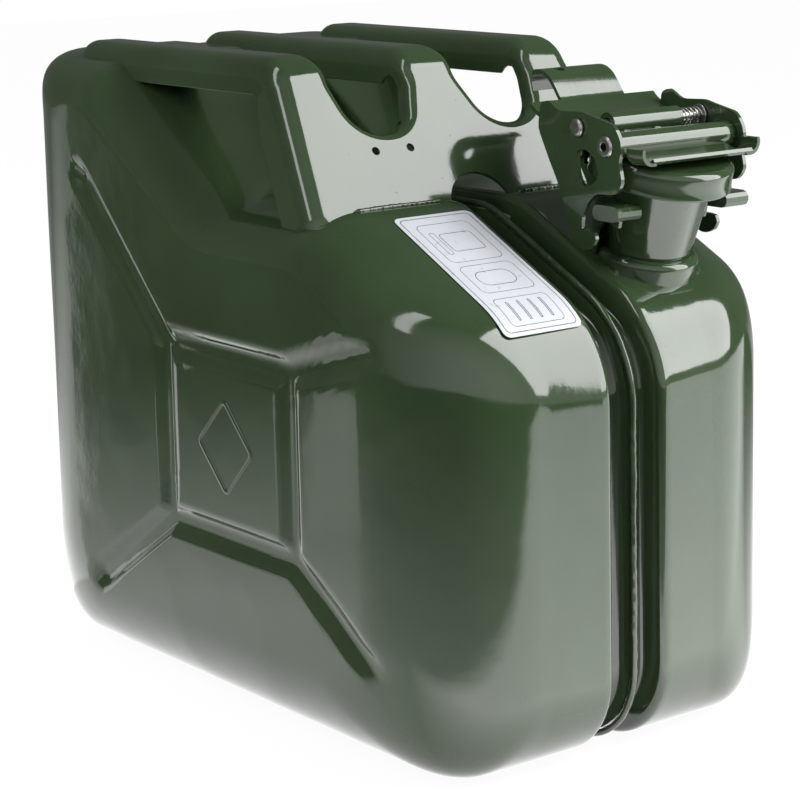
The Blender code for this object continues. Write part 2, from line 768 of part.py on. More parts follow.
def handle_pressing():
    """Return the handle as one pressing with turned-down edges, bent from bars to plate."""
    bend_end = HANDLE_BEND * (math.pi / 2 - PLATE_ANGLE)
    stations = [bend_end * step / BEND_STEPS for step in range(BEND_STEPS + 1)]
    outline = handle_outline(stations)
    forms = [edge_form(point, bend_end) for point, _ in outline]

    def ring_at(angle, sheet, to_rim=False):
        """Return the unrolled ring at an angle of the round, or at the rim, on one surface."""
        row = []
        for (point, normal), (radius, rim_depth) in zip(outline, forms):
            inner = radius - sheet
            moved = point - normal * (sheet + inner * (1.0 - math.sin(angle)))
            depth = rim_depth if to_rim else sheet + inner * (1.0 - math.cos(angle))
            row.append((moved.x, moved.y, depth))
        return row

    quarter = math.pi / 2
    rings = [ring_at(quarter * step / EDGE_STEPS, 0.0) for step in range(EDGE_STEPS + 1)]
    rings += [ring_at(quarter, 0.0, True), ring_at(quarter, HANDLE_SHEET, True)]
    rings += [ring_at(quarter * step / EDGE_STEPS, HANDLE_SHEET) for step in range(EDGE_STEPS, -1, -1)]
    handle = loft("carry_handle", rings)
    work = bmesh.new()
    work.from_mesh(handle.data)
    bmesh.ops.triangulate(work, faces=work.faces)
    for station in stations:
        geometry = list(work.verts) + list(work.edges) + list(work.faces)
        bmesh.ops.bisect_plane(
            work, geom=geometry, dist=OVERRUN / 1000, plane_co=(0.0, station, 0.0), plane_no=(0.0, 1.0, 0.0),
        )
    bmesh.ops.triangulate(work, faces=work.faces)
    for vert in work.verts:
        vert.co = handle_place(*vert.co)
    bmesh.ops.recalc_face_normals(work, faces=work.faces)
    work.to_mesh(handle.data)
    work.free()
    tidy_mesh(handle.data)
    return handle


def carry_handle():
    """Return the pressed handle: three bars bent into a slanted plate with its arch and holes."""
    slope = Vector((math.sin(PLATE_ANGLE), 0.0, -math.cos(PLATE_ANGLE)))
    outward = Vector((math.cos(PLATE_ANGLE), 0.0, math.sin(PLATE_ANGLE)))
    plate_frame = frame_matrix(ACROSS, -slope, outward, Vector((PLATE_TOP_X, 0.0, HANDLE_TOP)))
    foot = -(HANDLE_TOP - DECK_HEIGHT) / math.cos(PLATE_ANGLE)
    handle = handle_pressing()
    arch_radius = (ARCH_HALF ** 2 + ARCH_RISE ** 2) / (2 * ARCH_RISE)
    arch_low = arch_radius - ARCH_RISE
    arch_angle = math.atan2(arch_low, ARCH_HALF)
    arch = arc_points((0.0, foot - arch_low), arch_radius, arch_angle, math.pi - arch_angle, 8)
    arch += [(-ARCH_HALF, foot - FOOT_REACH / 2), (ARCH_HALF, foot - FOOT_REACH / 2)]
    cut(handle, flat_plate("arch_cut", [arch], HANDLE_SHEET * 4, plate_frame))
    hole_height = foot + PLATE_HOLE_RISE / math.cos(PLATE_ANGLE)
    for side in (1, -1):
        place = Vector((side * PLATE_HOLE_SPACING / 2 - PLATE_HOLE_Y, hole_height, 0.0))
        hole_frame = plate_frame @ Matrix.Translation(place)
        reach = HANDLE_SHEET * 2
        cut(handle, rod("plate_hole", PLATE_HOLE_RADIUS, -reach, reach, 12, hole_frame))
    return cut(handle, clearance_envelope("handle_envelope"))


def filler_neck():
    """Return the tapered neck with its flared mouth."""
    inner_foot = NECK_FOOT_RADIUS - NECK_SHEET
    inner_top = NECK_TOP_RADIUS - NECK_SHEET
    lip_inner = NECK_LIP_RADIUS - 2 * NECK_SHEET
    profile = (
        (lip_inner, LIP_TOP),
        (NECK_LIP_RADIUS, LIP_TOP),
        (NECK_LIP_RADIUS, LIP_TOP - NECK_SHEET),
        (NECK_TOP_RADIUS, NECK_LENGTH),
        (NECK_FOOT_RADIUS, COLLAR_HEIGHT),
        (NECK_FOOT_RADIUS, -NECK_TAIL),
        (inner_foot, -NECK_TAIL),
        (inner_foot, COLLAR_HEIGHT),
        (inner_top, NECK_LENGTH),
    )
    return turned("filler_neck", profile, BODY_SEGMENTS, NECK_FRAME)


def neck_hole(item):
    """Cut the far shell for the neck."""
    reach = NECK_FOOT_RADIUS
    return cut(item, rod("neck_hole", NECK_FOOT_RADIUS + FIT_GAP, -reach, reach, BODY_SEGMENTS, NECK_FRAME))


def neck_base_ring():
    """Return the collar at the neck's foot, cut to the shoulder's slope."""
    inner = NECK_FOOT_RADIUS + FIT_GAP
    outer = inner + COLLAR_WIDTH
    profile = (
        (inner, COLLAR_HEIGHT * 0.9),
        (inner + COLLAR_WIDTH * 0.35, COLLAR_HEIGHT * 0.9),
        (outer, COLLAR_HEIGHT * 0.3),
        (outer, -NECK_FOOT_RADIUS),
        (inner, -NECK_FOOT_RADIUS),
    )
    collar = turned("neck_base_ring", profile, BODY_SEGMENTS, NECK_FRAME)
    return cut(collar, clearance_envelope("collar_envelope"))


def latch_yoke():
    """Return the saddle behind the neck with its two lugs and the hinge ears."""
    inner = YOKE_RADIUS
    outer = YOKE_RADIUS + YOKE_SHEET
    outline = [(YOKE_WING, outer)] + arc_points((0.0, 0.0), outer, math.pi / 2, math.pi * 1.5, 14)
    outline += [(YOKE_WING, -outer), (YOKE_WING, -inner)]
    outline += arc_points((0.0, 0.0), inner, math.pi * 1.5, math.pi / 2, 14) + [(YOKE_WING, inner)]
    low = -NECK_FOOT_RADIUS
    height = YOKE_BOTTOM + YOKE_HEIGHT
    frame = NECK_FRAME @ Matrix.Translation((0.0, 0.0, (height + low) / 2))
    yoke = flat_plate("latch_yoke", [outline], height - low, frame)
    cut(yoke, wing_relief(outer, low))
    lug_reach = LEVER_HALF + LUG_PROUD
    for side in (1, -1):
        middle = (lug_reach + YOKE_RADIUS + YOKE_SHEET / 2) / 2
        length = lug_reach - YOKE_RADIUS - YOKE_SHEET / 2
        centre = PIVOT_WORLD + Vector((LUG_FORWARD, side * middle, -LUG_DROP))
        half = LUG_LENGTH / 2 - LUG_HEIGHT / 2
        stadium = arc_points((half, 0.0), LUG_HEIGHT / 2, -math.pi / 2, math.pi / 2, 5)
        stadium += arc_points((-half, 0.0), LUG_HEIGHT / 2, math.pi / 2, math.pi * 1.5, 5)
        join(yoke, flat_plate("lug", [stadium], length, upright_frame(centre)))
    pin_x = HINGE_POINT.x
    pin_z = HINGE_POINT.z
    ear_middle = KNUCKLE_HALF + RUNNING_GAP + HINGE_EAR_THICK / 2
    root = -math.sqrt((YOKE_RADIUS + YOKE_SHEET / 2) ** 2 - ear_middle ** 2)
    ear = [
        (root, height - YOKE_HEIGHT * EAR_ROOT_SHARE),
        (root, height - YOKE_SHEET / 4),
        (-LID_RADIUS - RUNNING_GAP * 2, SKIRT_LOW - RUNNING_GAP * 4),
    ]
    ear += arc_points((pin_x, pin_z), KNUCKLE_RADIUS, math.radians(20), math.radians(200), 8)
    pin_cut = circle_points(HINGE_PIN_RADIUS + FIT_GAP, 12, (pin_x, pin_z))
    for side in (1, -1):
        offset = side * ear_middle
        frame = NECK_FRAME @ upright_frame((0.0, offset, 0.0))
        join(yoke, flat_plate("hinge_ear", [ear, pin_cut], HINGE_EAR_THICK, frame))
    return cut(yoke, clearance_envelope("yoke_envelope"))


def wing_relief(outer, low):
    """Return the block that frees the neck's front below the wings."""
    high = YOKE_BOTTOM + YOKE_HEIGHT * WING_LOW_SHARE
    rear = -outer * WING_BACK_SHARE
    outline = [(rear, -outer * 2), (outer * 2, -outer * 2), (outer * 2, outer * 2), (rear, outer * 2)]
    floor = low - OVERRUN
    frame = NECK_FRAME @ Matrix.Translation((0.0, 0.0, (high + floor) / 2))
    return flat_plate("wing_relief", [outline], high - floor, frame)


def rivet_frames():
    """Return the placements of the two rivets behind the barrel."""
    return [NECK_FRAME @ Matrix.Translation((-RIVET_BACK, side * RIVET_SPREAD, 0.0)) for side in (-1, 1)]


def cut_rivet_holes(item):
    """Cut the rivets' holes through one layer of the lid."""
    low = LID_INSIDE - GASKET_PLATE_THICK - OVERRUN
    high = CLAMP_LOW + CLAMP_SHEET + OVERRUN
    for frame in rivet_frames():
        cut(item, rod("rivet_hole", RIVET_RADIUS + FIT_GAP / 2, low, high, 12, frame))
    return item


def cap_lid():
    """Return the turned lid with its rounded edge, skirt and rivet holes."""
    inside = LID_RADIUS - LID_SHEET
    edge = arc_points((LID_RADIUS - LID_ROUND, LID_TOP - LID_ROUND), LID_ROUND, math.pi / 2, 0.0, 4)
    profile = [(0.0, LID_TOP)] + edge
    profile += [
        (LID_RADIUS, SKIRT_LOW),
        (inside, SKIRT_LOW),
        (inside, LID_INSIDE - LID_SHEET),
        (inside - LID_SHEET, LID_INSIDE),
        (0.0, LID_INSIDE),
    ]
    return cut_rivet_holes(turned("cap_lid", profile, BODY_SEGMENTS, NECK_FRAME))


def gasket_parts():
    """Return the rubber ring and the disc that holds it."""
    top = LID_INSIDE - FIT_GAP
    outer = NECK_LIP_RADIUS + NECK_SHEET
    gasket = ring("cap_gasket", outer, GASKET_INNER, GASKET_LOW, top, BODY_SEGMENTS, NECK_FRAME)
    low = top - GASKET_PLATE_THICK
    plate = rod("gasket_plate", GASKET_PLATE_RADIUS, low, top, BODY_SEGMENTS, NECK_FRAME)
    return gasket, cut_rivet_holes(plate)


def lid_rivets():
    """Return the two rivets through disc, lid and clamp plate, each headed at both ends."""
    low = LID_INSIDE - GASKET_PLATE_THICK - 2 * FIT_GAP
    high = CLAMP_LOW + CLAMP_SHEET + FIT_GAP
    crown = RIVET_HEAD_RADIUS * 0.6
    profile = (
        (0.0, high + RIVET_HEAD),
        (crown, high + RIVET_HEAD),
        (RIVET_HEAD_RADIUS, high),
        (RIVET_RADIUS, high),
        (RIVET_RADIUS, low),
        (RIVET_HEAD_RADIUS, low),
        (crown, low - RIVET_HEAD),
        (0.0, low - RIVET_HEAD),
    )
    names = ("lid_rivet_near", "lid_rivet_far")
    return [turned(name, profile, 12, frame) for name, frame in zip(names, rivet_frames())]


def clamp_plate():
    """Return the sheet on the lid: rear knuckle, long rolled barrel, front lip and ears."""
    low = CLAMP_LOW
    high = CLAMP_LOW + CLAMP_SHEET
    rear = -(LID_RADIUS + FIT_GAP)
    hinge_x = HINGE_POINT.x
    hinge_z = HINGE_POINT.z
    strap_end = BARREL_FORWARD - BARREL_RADIUS * 0.2
    strap = [
        (strap_end, low), (strap_end, high), (rear - CLAMP_SHEET, high),
        (hinge_x, hinge_z + KNUCKLE_RADIUS * 0.9), (hinge_x, hinge_z),
        (hinge_x + KNUCKLE_RADIUS * 0.8, hinge_z + KNUCKLE_RADIUS * 0.2),
        (rear, low - LID_ROUND), (rear, low),
    ]
    clamp = flat_plate("clamp_plate", [strap], KNUCKLE_HALF * 2, NECK_FRAME @ upright_frame((0.0, 0.0, 0.0)))
    knuckle_frame = NECK_FRAME @ across_frame(HINGE_POINT)
    join(clamp, rod("knuckle", KNUCKLE_RADIUS, -KNUCKLE_HALF, KNUCKLE_HALF, 16, knuckle_frame))
    pin_bore = HINGE_PIN_RADIUS + FIT_GAP
    cut(clamp, rod("knuckle_bore", pin_bore, -KNUCKLE_HALF * 2, KNUCKLE_HALF * 2, 16, knuckle_frame))
    barrel_centre = Vector((BARREL_FORWARD, 0.0, PIVOT_HEIGHT))
    barrel_half = LEVER_HALF - LEVER_SHEET - FIT_GAP
    barrel_frame = NECK_FRAME @ across_frame(barrel_centre)
    join(clamp, rod("barrel", BARREL_RADIUS, -barrel_half, barrel_half, SMALL_SEGMENTS, barrel_frame))
    lip_line = [
        Vector((BARREL_RADIUS * 0.58, -BARREL_RADIUS * 0.66)),
        Vector((LIP_REACH * 0.45, -LIP_DROP * 0.85)),
        Vector((LIP_REACH - LIP_EDGE * 2, -LIP_DROP)),
        Vector((LIP_REACH, LIP_EDGE / 4 - LIP_DROP)),
        Vector((LIP_REACH + LIP_EDGE, LIP_EDGE - LIP_DROP)),
    ]
    lip_half = LIP_HALF - EAR_RADIUS
    lip_outline = strip_outline(lip_line, CLAMP_SHEET)
    join(clamp, flat_plate("front_lip", [lip_outline], lip_half * 2, upright_frame(PIVOT_WORLD)))
    for side in (1, -1):
        join(clamp, lip_ear(side, lip_half))
    bore_half = barrel_half + OVERRUN
    cut(clamp, rod("barrel_bore", BARREL_BORE, -bore_half, bore_half, SMALL_SEGMENTS, barrel_frame))
    return cut_rivet_holes(clamp)


def lip_ear(side, lip_half):
    """Return the end of the front lip, which curls up from the sheet."""
    curl = [(lip_half - EAR_LENGTH / 4, 0.0)]
    curl += arc_points((lip_half, EAR_RADIUS), EAR_RADIUS, -math.pi / 2, math.pi / 9, 6)
    curl = [Vector(point) for point in curl]
    outline = [(side * y, z) for y, z in strip_outline(curl, CLAMP_SHEET)]
    front = LIP_REACH + LIP_EDGE / 2
    origin = PIVOT_WORLD + Vector((front - EAR_LENGTH / 2, 0.0, -LIP_DROP))
    frame = frame_matrix(ACROSS, Vector((0.0, 0.0, 1.0)), Vector((1.0, 0.0, 0.0)), origin)
    return flat_plate("lip_ear", [outline], EAR_LENGTH, frame)


def cap_hinge_pin():
    """Return the pin that carries the lid, with a head at each end."""
    half = KNUCKLE_HALF + RUNNING_GAP + HINGE_EAR_THICK + FIT_GAP
    end = half + PIN_HEAD
    profile = (
        (0.0, end),
        (PIN_HEAD_RADIUS, end),
        (PIN_HEAD_RADIUS, half),
        (HINGE_PIN_RADIUS, half),
        (HINGE_PIN_RADIUS, -half),
        (PIN_HEAD_RADIUS, -half),
        (PIN_HEAD_RADIUS, -end),
        (0.0, -end),
    )
    return turned("cap_hinge_pin", profile, 16, NECK_FRAME @ across_frame(HINGE_POINT))


def strip_outline(points, thickness):
    """Return the closed outline of a sheet that follows a line of points."""
    left = []
    right = []
    for index, point in enumerate(points):
        before = points[max(index - 1, 0)]
        after = points[min(index + 1, len(points) - 1)]
        along = (after - before).normalized()
        side = Vector((-along.y, along.x)) * thickness / 2
        left.append(tuple(point + side))
        right.append(tuple(point - side))
    return left + list(reversed(right))


def lever():
    """Return the lever: two notched cheeks, the dished web, the tail tab and the rolled sleeve."""
    cheek = [(x * LEVER_REACH, z * LEVER_DROP) for x, z in CHEEK_SHARES]
    cheek += arc_points((0.0, 0.0), NOSE_RADIUS, math.radians(-35), math.radians(40), 3)
    cheek = eased(cheek, CHEEK_EASE)
    window = eased([(x * LEVER_REACH, z * LEVER_DROP) for x, z in WINDOW_SHARES], CHEEK_EASE)
    pivot_hole = circle_points(PIVOT_RADIUS + FIT_GAP, 14)
    sleeve_hole = circle_points(SLEEVE_BORE, 12, (-SLEEVE_BACK, SLEEVE_RISE))
    holes = [window, pivot_hole, sleeve_hole]
    middle = LEVER_HALF - LEVER_SHEET / 2
    body = flat_plate("lever", [cheek] + holes, LEVER_SHEET, upright_frame(PIVOT_WORLD + ACROSS * -middle))
    far = flat_plate("far_cheek", [cheek] + holes, LEVER_SHEET, upright_frame(PIVOT_WORLD + ACROSS * middle))
    line = smooth_path([Vector((x * TAIL_LENGTH, z * TAIL_RISE)) for x, z in WEB_SHARES], WEB_STEPS)
    dish_count = WEB_STEPS * 4
    crest = WEB_STEPS * 7
    level = upright_frame(PIVOT_WORLD)
    web_width = (LEVER_HALF - LEVER_SHEET / 4) * 2
    web = flat_plate("web", [strip_outline(line[:dish_count + 1], LEVER_SHEET)], web_width, level)
    tail = flat_plate("tail", [strip_outline(line[dish_count - 2:], LEVER_SHEET)], TAIL_HALF * 2, level)
    boolean(tail, tail_plan(line[dish_count - 2].x), "INTERSECT")
    hole_place = PIVOT_WORLD + Vector((line[crest].x, -TAIL_HALF * 0.45, 0.0))
    hole_frame = Matrix.Translation(hole_place)
    cut(tail, rod("tail_hole", TAIL_HOLE_RADIUS, TAIL_RISE * 0.5, TAIL_RISE * 2, 14, hole_frame))
    join(body, web)
    join(body, far)
    join(body, tail)
    sleeve_frame = across_frame(PIVOT_WORLD + Vector((-SLEEVE_BACK, 0.0, SLEEVE_RISE)))
    join(body, rod("sleeve", SLEEVE_RADIUS, -SLEEVE_HALF, SLEEVE_HALF, SMALL_SEGMENTS, sleeve_frame))
    tongue = strip_outline([Vector((-SLEEVE_BACK, SLEEVE_RISE)), line[0], line[2]], LEVER_SHEET)
    join(body, flat_plate("tongue", [tongue], SLEEVE_HALF * 2, level))
    half = SLEEVE_HALF + OVERRUN
    return cut(body, rod("sleeve_bore", SLEEVE_BORE, -half, half, SMALL_SEGMENTS, sleeve_frame))


def tail_plan(front_x):
    """Return a block with the tail's plan outline, rounded at its free end."""
    half = TAIL_HALF - TAIL_CORNER
    rear = -TAIL_LENGTH - LEVER_SHEET
    outline = [(front_x + OVERRUN, TAIL_HALF)]
    outline += arc_points((rear + TAIL_CORNER, half), TAIL_CORNER, math.pi / 2, math.pi, 6)
    outline += arc_points((rear + TAIL_CORNER, -half), TAIL_CORNER, math.pi, math.pi * 1.5, 6)
    outline += [(front_x + OVERRUN, -TAIL_HALF)]
    return flat_plate("tail_plan", [outline], TAIL_RISE * 4, Matrix.Translation(PIVOT_WORLD))


def lever_pivot():
    """Return the tubular rivet on which the lever turns."""
    half = LEVER_HALF + FIT_GAP
    end = half + PIVOT_HEAD
    crown = PIVOT_HEAD_RADIUS * 0.8
    profile = (
        (PIVOT_BORE, end),
        (crown, end),
        (PIVOT_HEAD_RADIUS, half),
        (PIVOT_RADIUS, half),
        (PIVOT_RADIUS, -half),
        (PIVOT_HEAD_RADIUS, -half),
        (crown, -end),
        (PIVOT_BORE, -end),
    )
    return turned("lever_pivot", profile, SMALL_SEGMENTS, across_frame(PIVOT_WORLD))


def lock_parts():
    """Return the locking pin, its clip and its spring."""
    centre = PIVOT_WORLD + Vector((-SLEEVE_BACK, 0.0, SLEEVE_RISE))
    frame = across_frame(centre)
    head = -(LEVER_HALF + FIT_GAP)
    tip = LEVER_HALF + LOCK_TIP
    profile = (
        (0.0, tip), (LOCK_RADIUS * 0.6, tip), (LOCK_RADIUS, tip - LOCK_TIP / 2), (LOCK_RADIUS, head),
        (LOCK_HEAD_RADIUS, head), (LOCK_HEAD_RADIUS, head - LOCK_HEAD * 0.6),
        (LOCK_HEAD_RADIUS * 0.7, head - LOCK_HEAD), (0.0, head - LOCK_HEAD),
    )
    pin = turned("lock_pin", profile, SMALL_SEGMENTS, frame)
    clip_high = LEVER_HALF - LEVER_SHEET - FIT_GAP
    clip_low = clip_high - CLIP_THICK
    clip_bore = LOCK_RADIUS + FIT_GAP / 2
    clip = ring("pin_clip", CLIP_RADIUS, clip_bore, clip_low, clip_high, SMALL_SEGMENTS, frame)
    low = SLEEVE_HALF + FIT_GAP + SPRING_WIRE
    high = clip_low - FIT_GAP - SPRING_WIRE
    count = SPRING_TURNS * POINTS_PER_TURN
    points = []
    for index in range(count + 1):
        angle = math.tau * index / POINTS_PER_TURN
        height = low + (high - low) * index / count
        points.append((SPRING_RADIUS * math.cos(angle), SPRING_RADIUS * math.sin(angle), height))
    spring = tube("pin_spring", points, SPRING_WIRE, 1, matrix=frame)
    pitch = (high - low) / SPRING_TURNS
    print("pin_spring: gap between turns %.2f mm" % ((pitch - 2 * SPRING_WIRE) * 1000))
    return pin, clip, spring


def breather_parts():
    """Return the inner air tube from the neck to the hump and the clip that holds it."""
    inner_foot = NECK_FOOT_RADIUS - NECK_SHEET
    hang = BODY_SHEET + BREATHER_HANG
    start = NECK_FRAME @ Vector((-(inner_foot - BREATHER_RADIUS - FIT_GAP), 0.0, NECK_LENGTH * 0.3))
    below = NECK_FRAME @ Vector((-(inner_foot - BREATHER_RADIUS - FIT_GAP), 0.0, -NECK_TAIL * 1.6))
    places = [
        start,
        below,
        Vector((DECK_FRONT_X + SHOULDER_RUN * 0.2, NECK_Y, DECK_HEIGHT - hang - SHOULDER_RUN * 0.22)),
        Vector((DECK_FRONT_X - DECK_LENGTH * 0.2, NECK_Y, DECK_HEIGHT - hang - HANDLE_SHEET)),
        Vector((DECK_FRONT_X - DECK_LENGTH * 0.6, NECK_Y, DECK_HEIGHT - hang - HANDLE_SHEET)),
        Vector((DECK_REAR_X, NECK_Y, DECK_HEIGHT - hang - HANDLE_SHEET)),
        Vector((DECK_REAR_X - HUMP_RUN * 0.75, NECK_Y, DECK_HEIGHT + HUMP_RISE * 0.45)),
        Vector((DECK_REAR_X - HUMP_RUN, NECK_Y, DECK_HEIGHT + HUMP_RISE - hang * 2)),
        Vector((DECK_REAR_X - HUMP_RUN * 1.3, NECK_Y, DECK_HEIGHT + HUMP_RISE - hang * 1.4)),
    ]
    path = smooth_path(places, 4)
    pipe = tube("breather_tube", path, BREATHER_RADIUS, 2)
    bore = tube("breather_bore", extended(path, OVERRUN), BREATHER_RADIUS - BREATHER_WALL, 2)
    cut(pipe, bore)
    clip_x = DECK_FRONT_X - DECK_LENGTH * 0.6
    pipe_z = DECK_HEIGHT - hang - HANDLE_SHEET
    top = DECK_HEIGHT - BODY_SHEET - FIT_GAP - (BODY_SHEET + FIT_GAP)
    inner = BREATHER_RADIUS + FIT_GAP * 2
    outer = inner + CLIP_STRAP
    hanger = box(
        "breather_clip", (CLIP_LENGTH, outer * 2, top - pipe_z), (clip_x, NECK_Y, (top + pipe_z) / 2),
    )
    along_x = Matrix.Translation((clip_x, NECK_Y, pipe_z)) @ Matrix.Rotation(math.pi / 2, 4, "Y")
    half = CLIP_LENGTH / 2 - CLIP_STRAP / 8
    join(hanger, rod("clip_round", outer, -half, half, 16, along_x))
    cut(hanger, rod("clip_bore", inner, -CLIP_LENGTH, CLIP_LENGTH, 16, along_x))
    return pipe, hanger


def smooth_path(places, steps):
    """Return points along a smooth line through the given places."""
    points = []
    for index in range(len(places) - 1):
        before = places[max(index - 1, 0)]
        first = places[index]
        second = places[index + 1]
        after = places[min(index + 2, len(places) - 1)]
        for step in range(steps):
            t = step / steps
            point = 0.5 * (
                2 * first + (second - before) * t + (2 * before - 5 * first + 4 * second - after) * t ** 2
                + (3 * first - before - 3 * second + after) * t ** 3
            )
            points.append(point)
    points.append(places[-1])
    return points


def extended(points, reach):
    """Return a path that runs on past both ends."""
    first = points[0] + (points[0] - points[1]).normalized() * reach
    last = points[-1] + (points[-1] - points[-2]).normalized() * reach
    return [first] + points + [last]


def shoulder_place(run):
    """Return the can's surface point and normal at a distance down the shoulder from the deck."""
    tangent = BEND_RADIUS * math.tan((math.pi / 2 - SHOULDER_ANGLE) / 2)
    straight = SHOULDER_RUN / math.cos(SHOULDER_ANGLE) - tangent
    top = Vector((DECK_FRONT_X, 0.0, DECK_HEIGHT))
    if run <= straight:
        return top + SHOULDER_DOWN * run, SHOULDER_UP
    lean = SHOULDER_ANGLE + (run - straight) / BEND_RADIUS
    normal = Vector((math.sin(lean), 0.0, math.cos(lean)))
    return top + SHOULDER_DOWN * straight + (normal - SHOULDER_UP) * BEND_RADIUS, normal


def label_sticker():
    """Return the thin label, laid down the near shoulder and round its bend."""
    start = LABEL_TOP_GAP / math.cos(SHOULDER_ANGLE)
    middle_y = -(CHANNEL_HALF + RIM_RADIUS + LABEL_SIDE_GAP * 0.25 + LABEL_WIDTH / 2)
    half = LABEL_WIDTH / 2
    corner = arc_points((LABEL_CORNER, half - LABEL_CORNER), LABEL_CORNER, math.pi, math.pi / 2, 3)
    inner_length = LABEL_LENGTH - 2 * LABEL_CORNER
    stations = list(corner)
    stations += [(LABEL_CORNER + inner_length * step / LABEL_STEPS, half) for step in range(1, LABEL_STEPS)]
    stations += [(LABEL_LENGTH - run, reach) for run, reach in reversed(corner)]
    rings = []
    for run, reach in stations:
        place, normal = shoulder_place(start + run)
        low = place + normal * FIT_GAP
        high = low + normal * LABEL_THICK
        corners = ((low, -reach), (low, reach), (high, reach), (high, -reach))
        rings.append([Vector((level.x, middle_y + across, level.z)) for level, across in corners])
    return loft("label_sticker", rings)


def pivot_empty(name, place):
    """Return an empty on a joint's axis."""
    empty = bpy.data.objects.new(name, None)
    empty.empty_display_size = LEVER_HALF
    PART.objects.link(empty)
    empty.matrix_world = Matrix.Translation(place)
    bpy.context.view_layer.update()
    return empty


def ride(items, empty):
    """Parent objects to an empty and keep their places."""
    for item in items:
        item.parent = empty
        item.matrix_parent_inverse = empty.matrix_world.inverted()


def finish(items, colour, metallic, roughness):
    """Paint objects and shade their round faces smooth."""
    for item in items:
        paint(item, colour, metallic, roughness)
        item.data.shade_smooth()
        item.data.set_sharp_from_angle(angle=math.radians(35))


def build():
    """Make every piece of the can."""
    near = half_shell("near_shell")
    far = mirrored(near, "far_shell")
    neck_hole(far)
    bead = weld_bead()
    handle = carry_handle()
    neck = filler_neck()
    collar = neck_base_ring()
    yoke = latch_yoke()
    pipe, pipe_clip = breather_parts()
    lid = cap_lid()
    gasket, gasket_plate = gasket_parts()
    rivets = lid_rivets()
    clamp = clamp_plate()
    hinge_pin = cap_hinge_pin()
    lever_body = lever()
    pivot = lever_pivot()
    pin, clip, spring = lock_parts()
    label = label_sticker()
    finish([near, far, bead, handle, neck, collar, yoke, lid, clamp, lever_body], GREEN, 0.0, 0.12)
    finish([pipe, pipe_clip, gasket_plate], STEEL, 1.0, 0.4)
    finish(rivets + [hinge_pin, pivot, pin, clip, spring], STEEL, 1.0, 0.3)
    finish([gasket], (0.02, 0.02, 0.02), 0.0, 0.7)
    finish([label], (0.85, 0.85, 0.86), 0.0, 0.4)
    cap_axis = pivot_empty("cap_swing_axis", HINGE_WORLD)
    lever_axis = pivot_empty("lever_axis", PIVOT_WORLD)
    lock_axis = pivot_empty("lock_pin_axis", PIVOT_WORLD + Vector((-SLEEVE_BACK, 0.0, SLEEVE_RISE)))
    ride([lid, gasket, gasket_plate, clamp, pivot] + rivets, cap_axis)
    ride([lever_body, spring], lever_axis)
    ride([pin, clip], lock_axis)


clear_scene()
PART = make_collection("metal_jerry_can")
build()
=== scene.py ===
"""Looks of a pressed-steel fuel can: glossy painted shells, bar handle, spout and lever closure.

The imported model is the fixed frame. X runs along the can with the spout at +X, Y across it, Z up, in metres.
"""
import logging
import math
from collections.abc import Iterator
from contextlib import contextmanager
from dataclasses import dataclass
from enum import Enum
from functools import reduce

import bmesh
import bpy
import numpy as np
from mathutils import Matrix, Vector, noise


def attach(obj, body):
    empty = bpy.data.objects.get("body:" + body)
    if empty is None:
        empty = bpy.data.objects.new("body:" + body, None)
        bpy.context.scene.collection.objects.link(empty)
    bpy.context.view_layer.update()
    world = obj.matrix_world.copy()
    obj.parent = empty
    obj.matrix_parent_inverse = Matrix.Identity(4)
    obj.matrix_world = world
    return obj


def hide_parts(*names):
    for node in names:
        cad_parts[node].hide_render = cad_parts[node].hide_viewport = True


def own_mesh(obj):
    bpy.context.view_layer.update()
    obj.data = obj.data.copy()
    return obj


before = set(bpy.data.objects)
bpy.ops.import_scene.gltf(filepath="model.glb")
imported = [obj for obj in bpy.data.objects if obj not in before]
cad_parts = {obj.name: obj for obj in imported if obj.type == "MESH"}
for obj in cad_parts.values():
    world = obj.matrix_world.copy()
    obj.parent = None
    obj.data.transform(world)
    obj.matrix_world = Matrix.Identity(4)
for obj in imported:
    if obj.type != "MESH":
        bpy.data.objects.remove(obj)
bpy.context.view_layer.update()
LOG = logging.getLogger("fuel_can")

Colour = tuple[float, float, float]
Point2 = tuple[float, float]
Piece = bpy.types.Object
Socket = bpy.types.NodeSocket
Material = bpy.types.Material

WHITE: Colour = (1.0, 1.0, 1.0)
MERGE_DISTANCE = 0.00001


class Body(Enum):
    """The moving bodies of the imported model."""

    CAN = "can"
    CAP = "cap"
    LEVER = "lever"
    LOCK = "lock"


# Node graphs and finishes


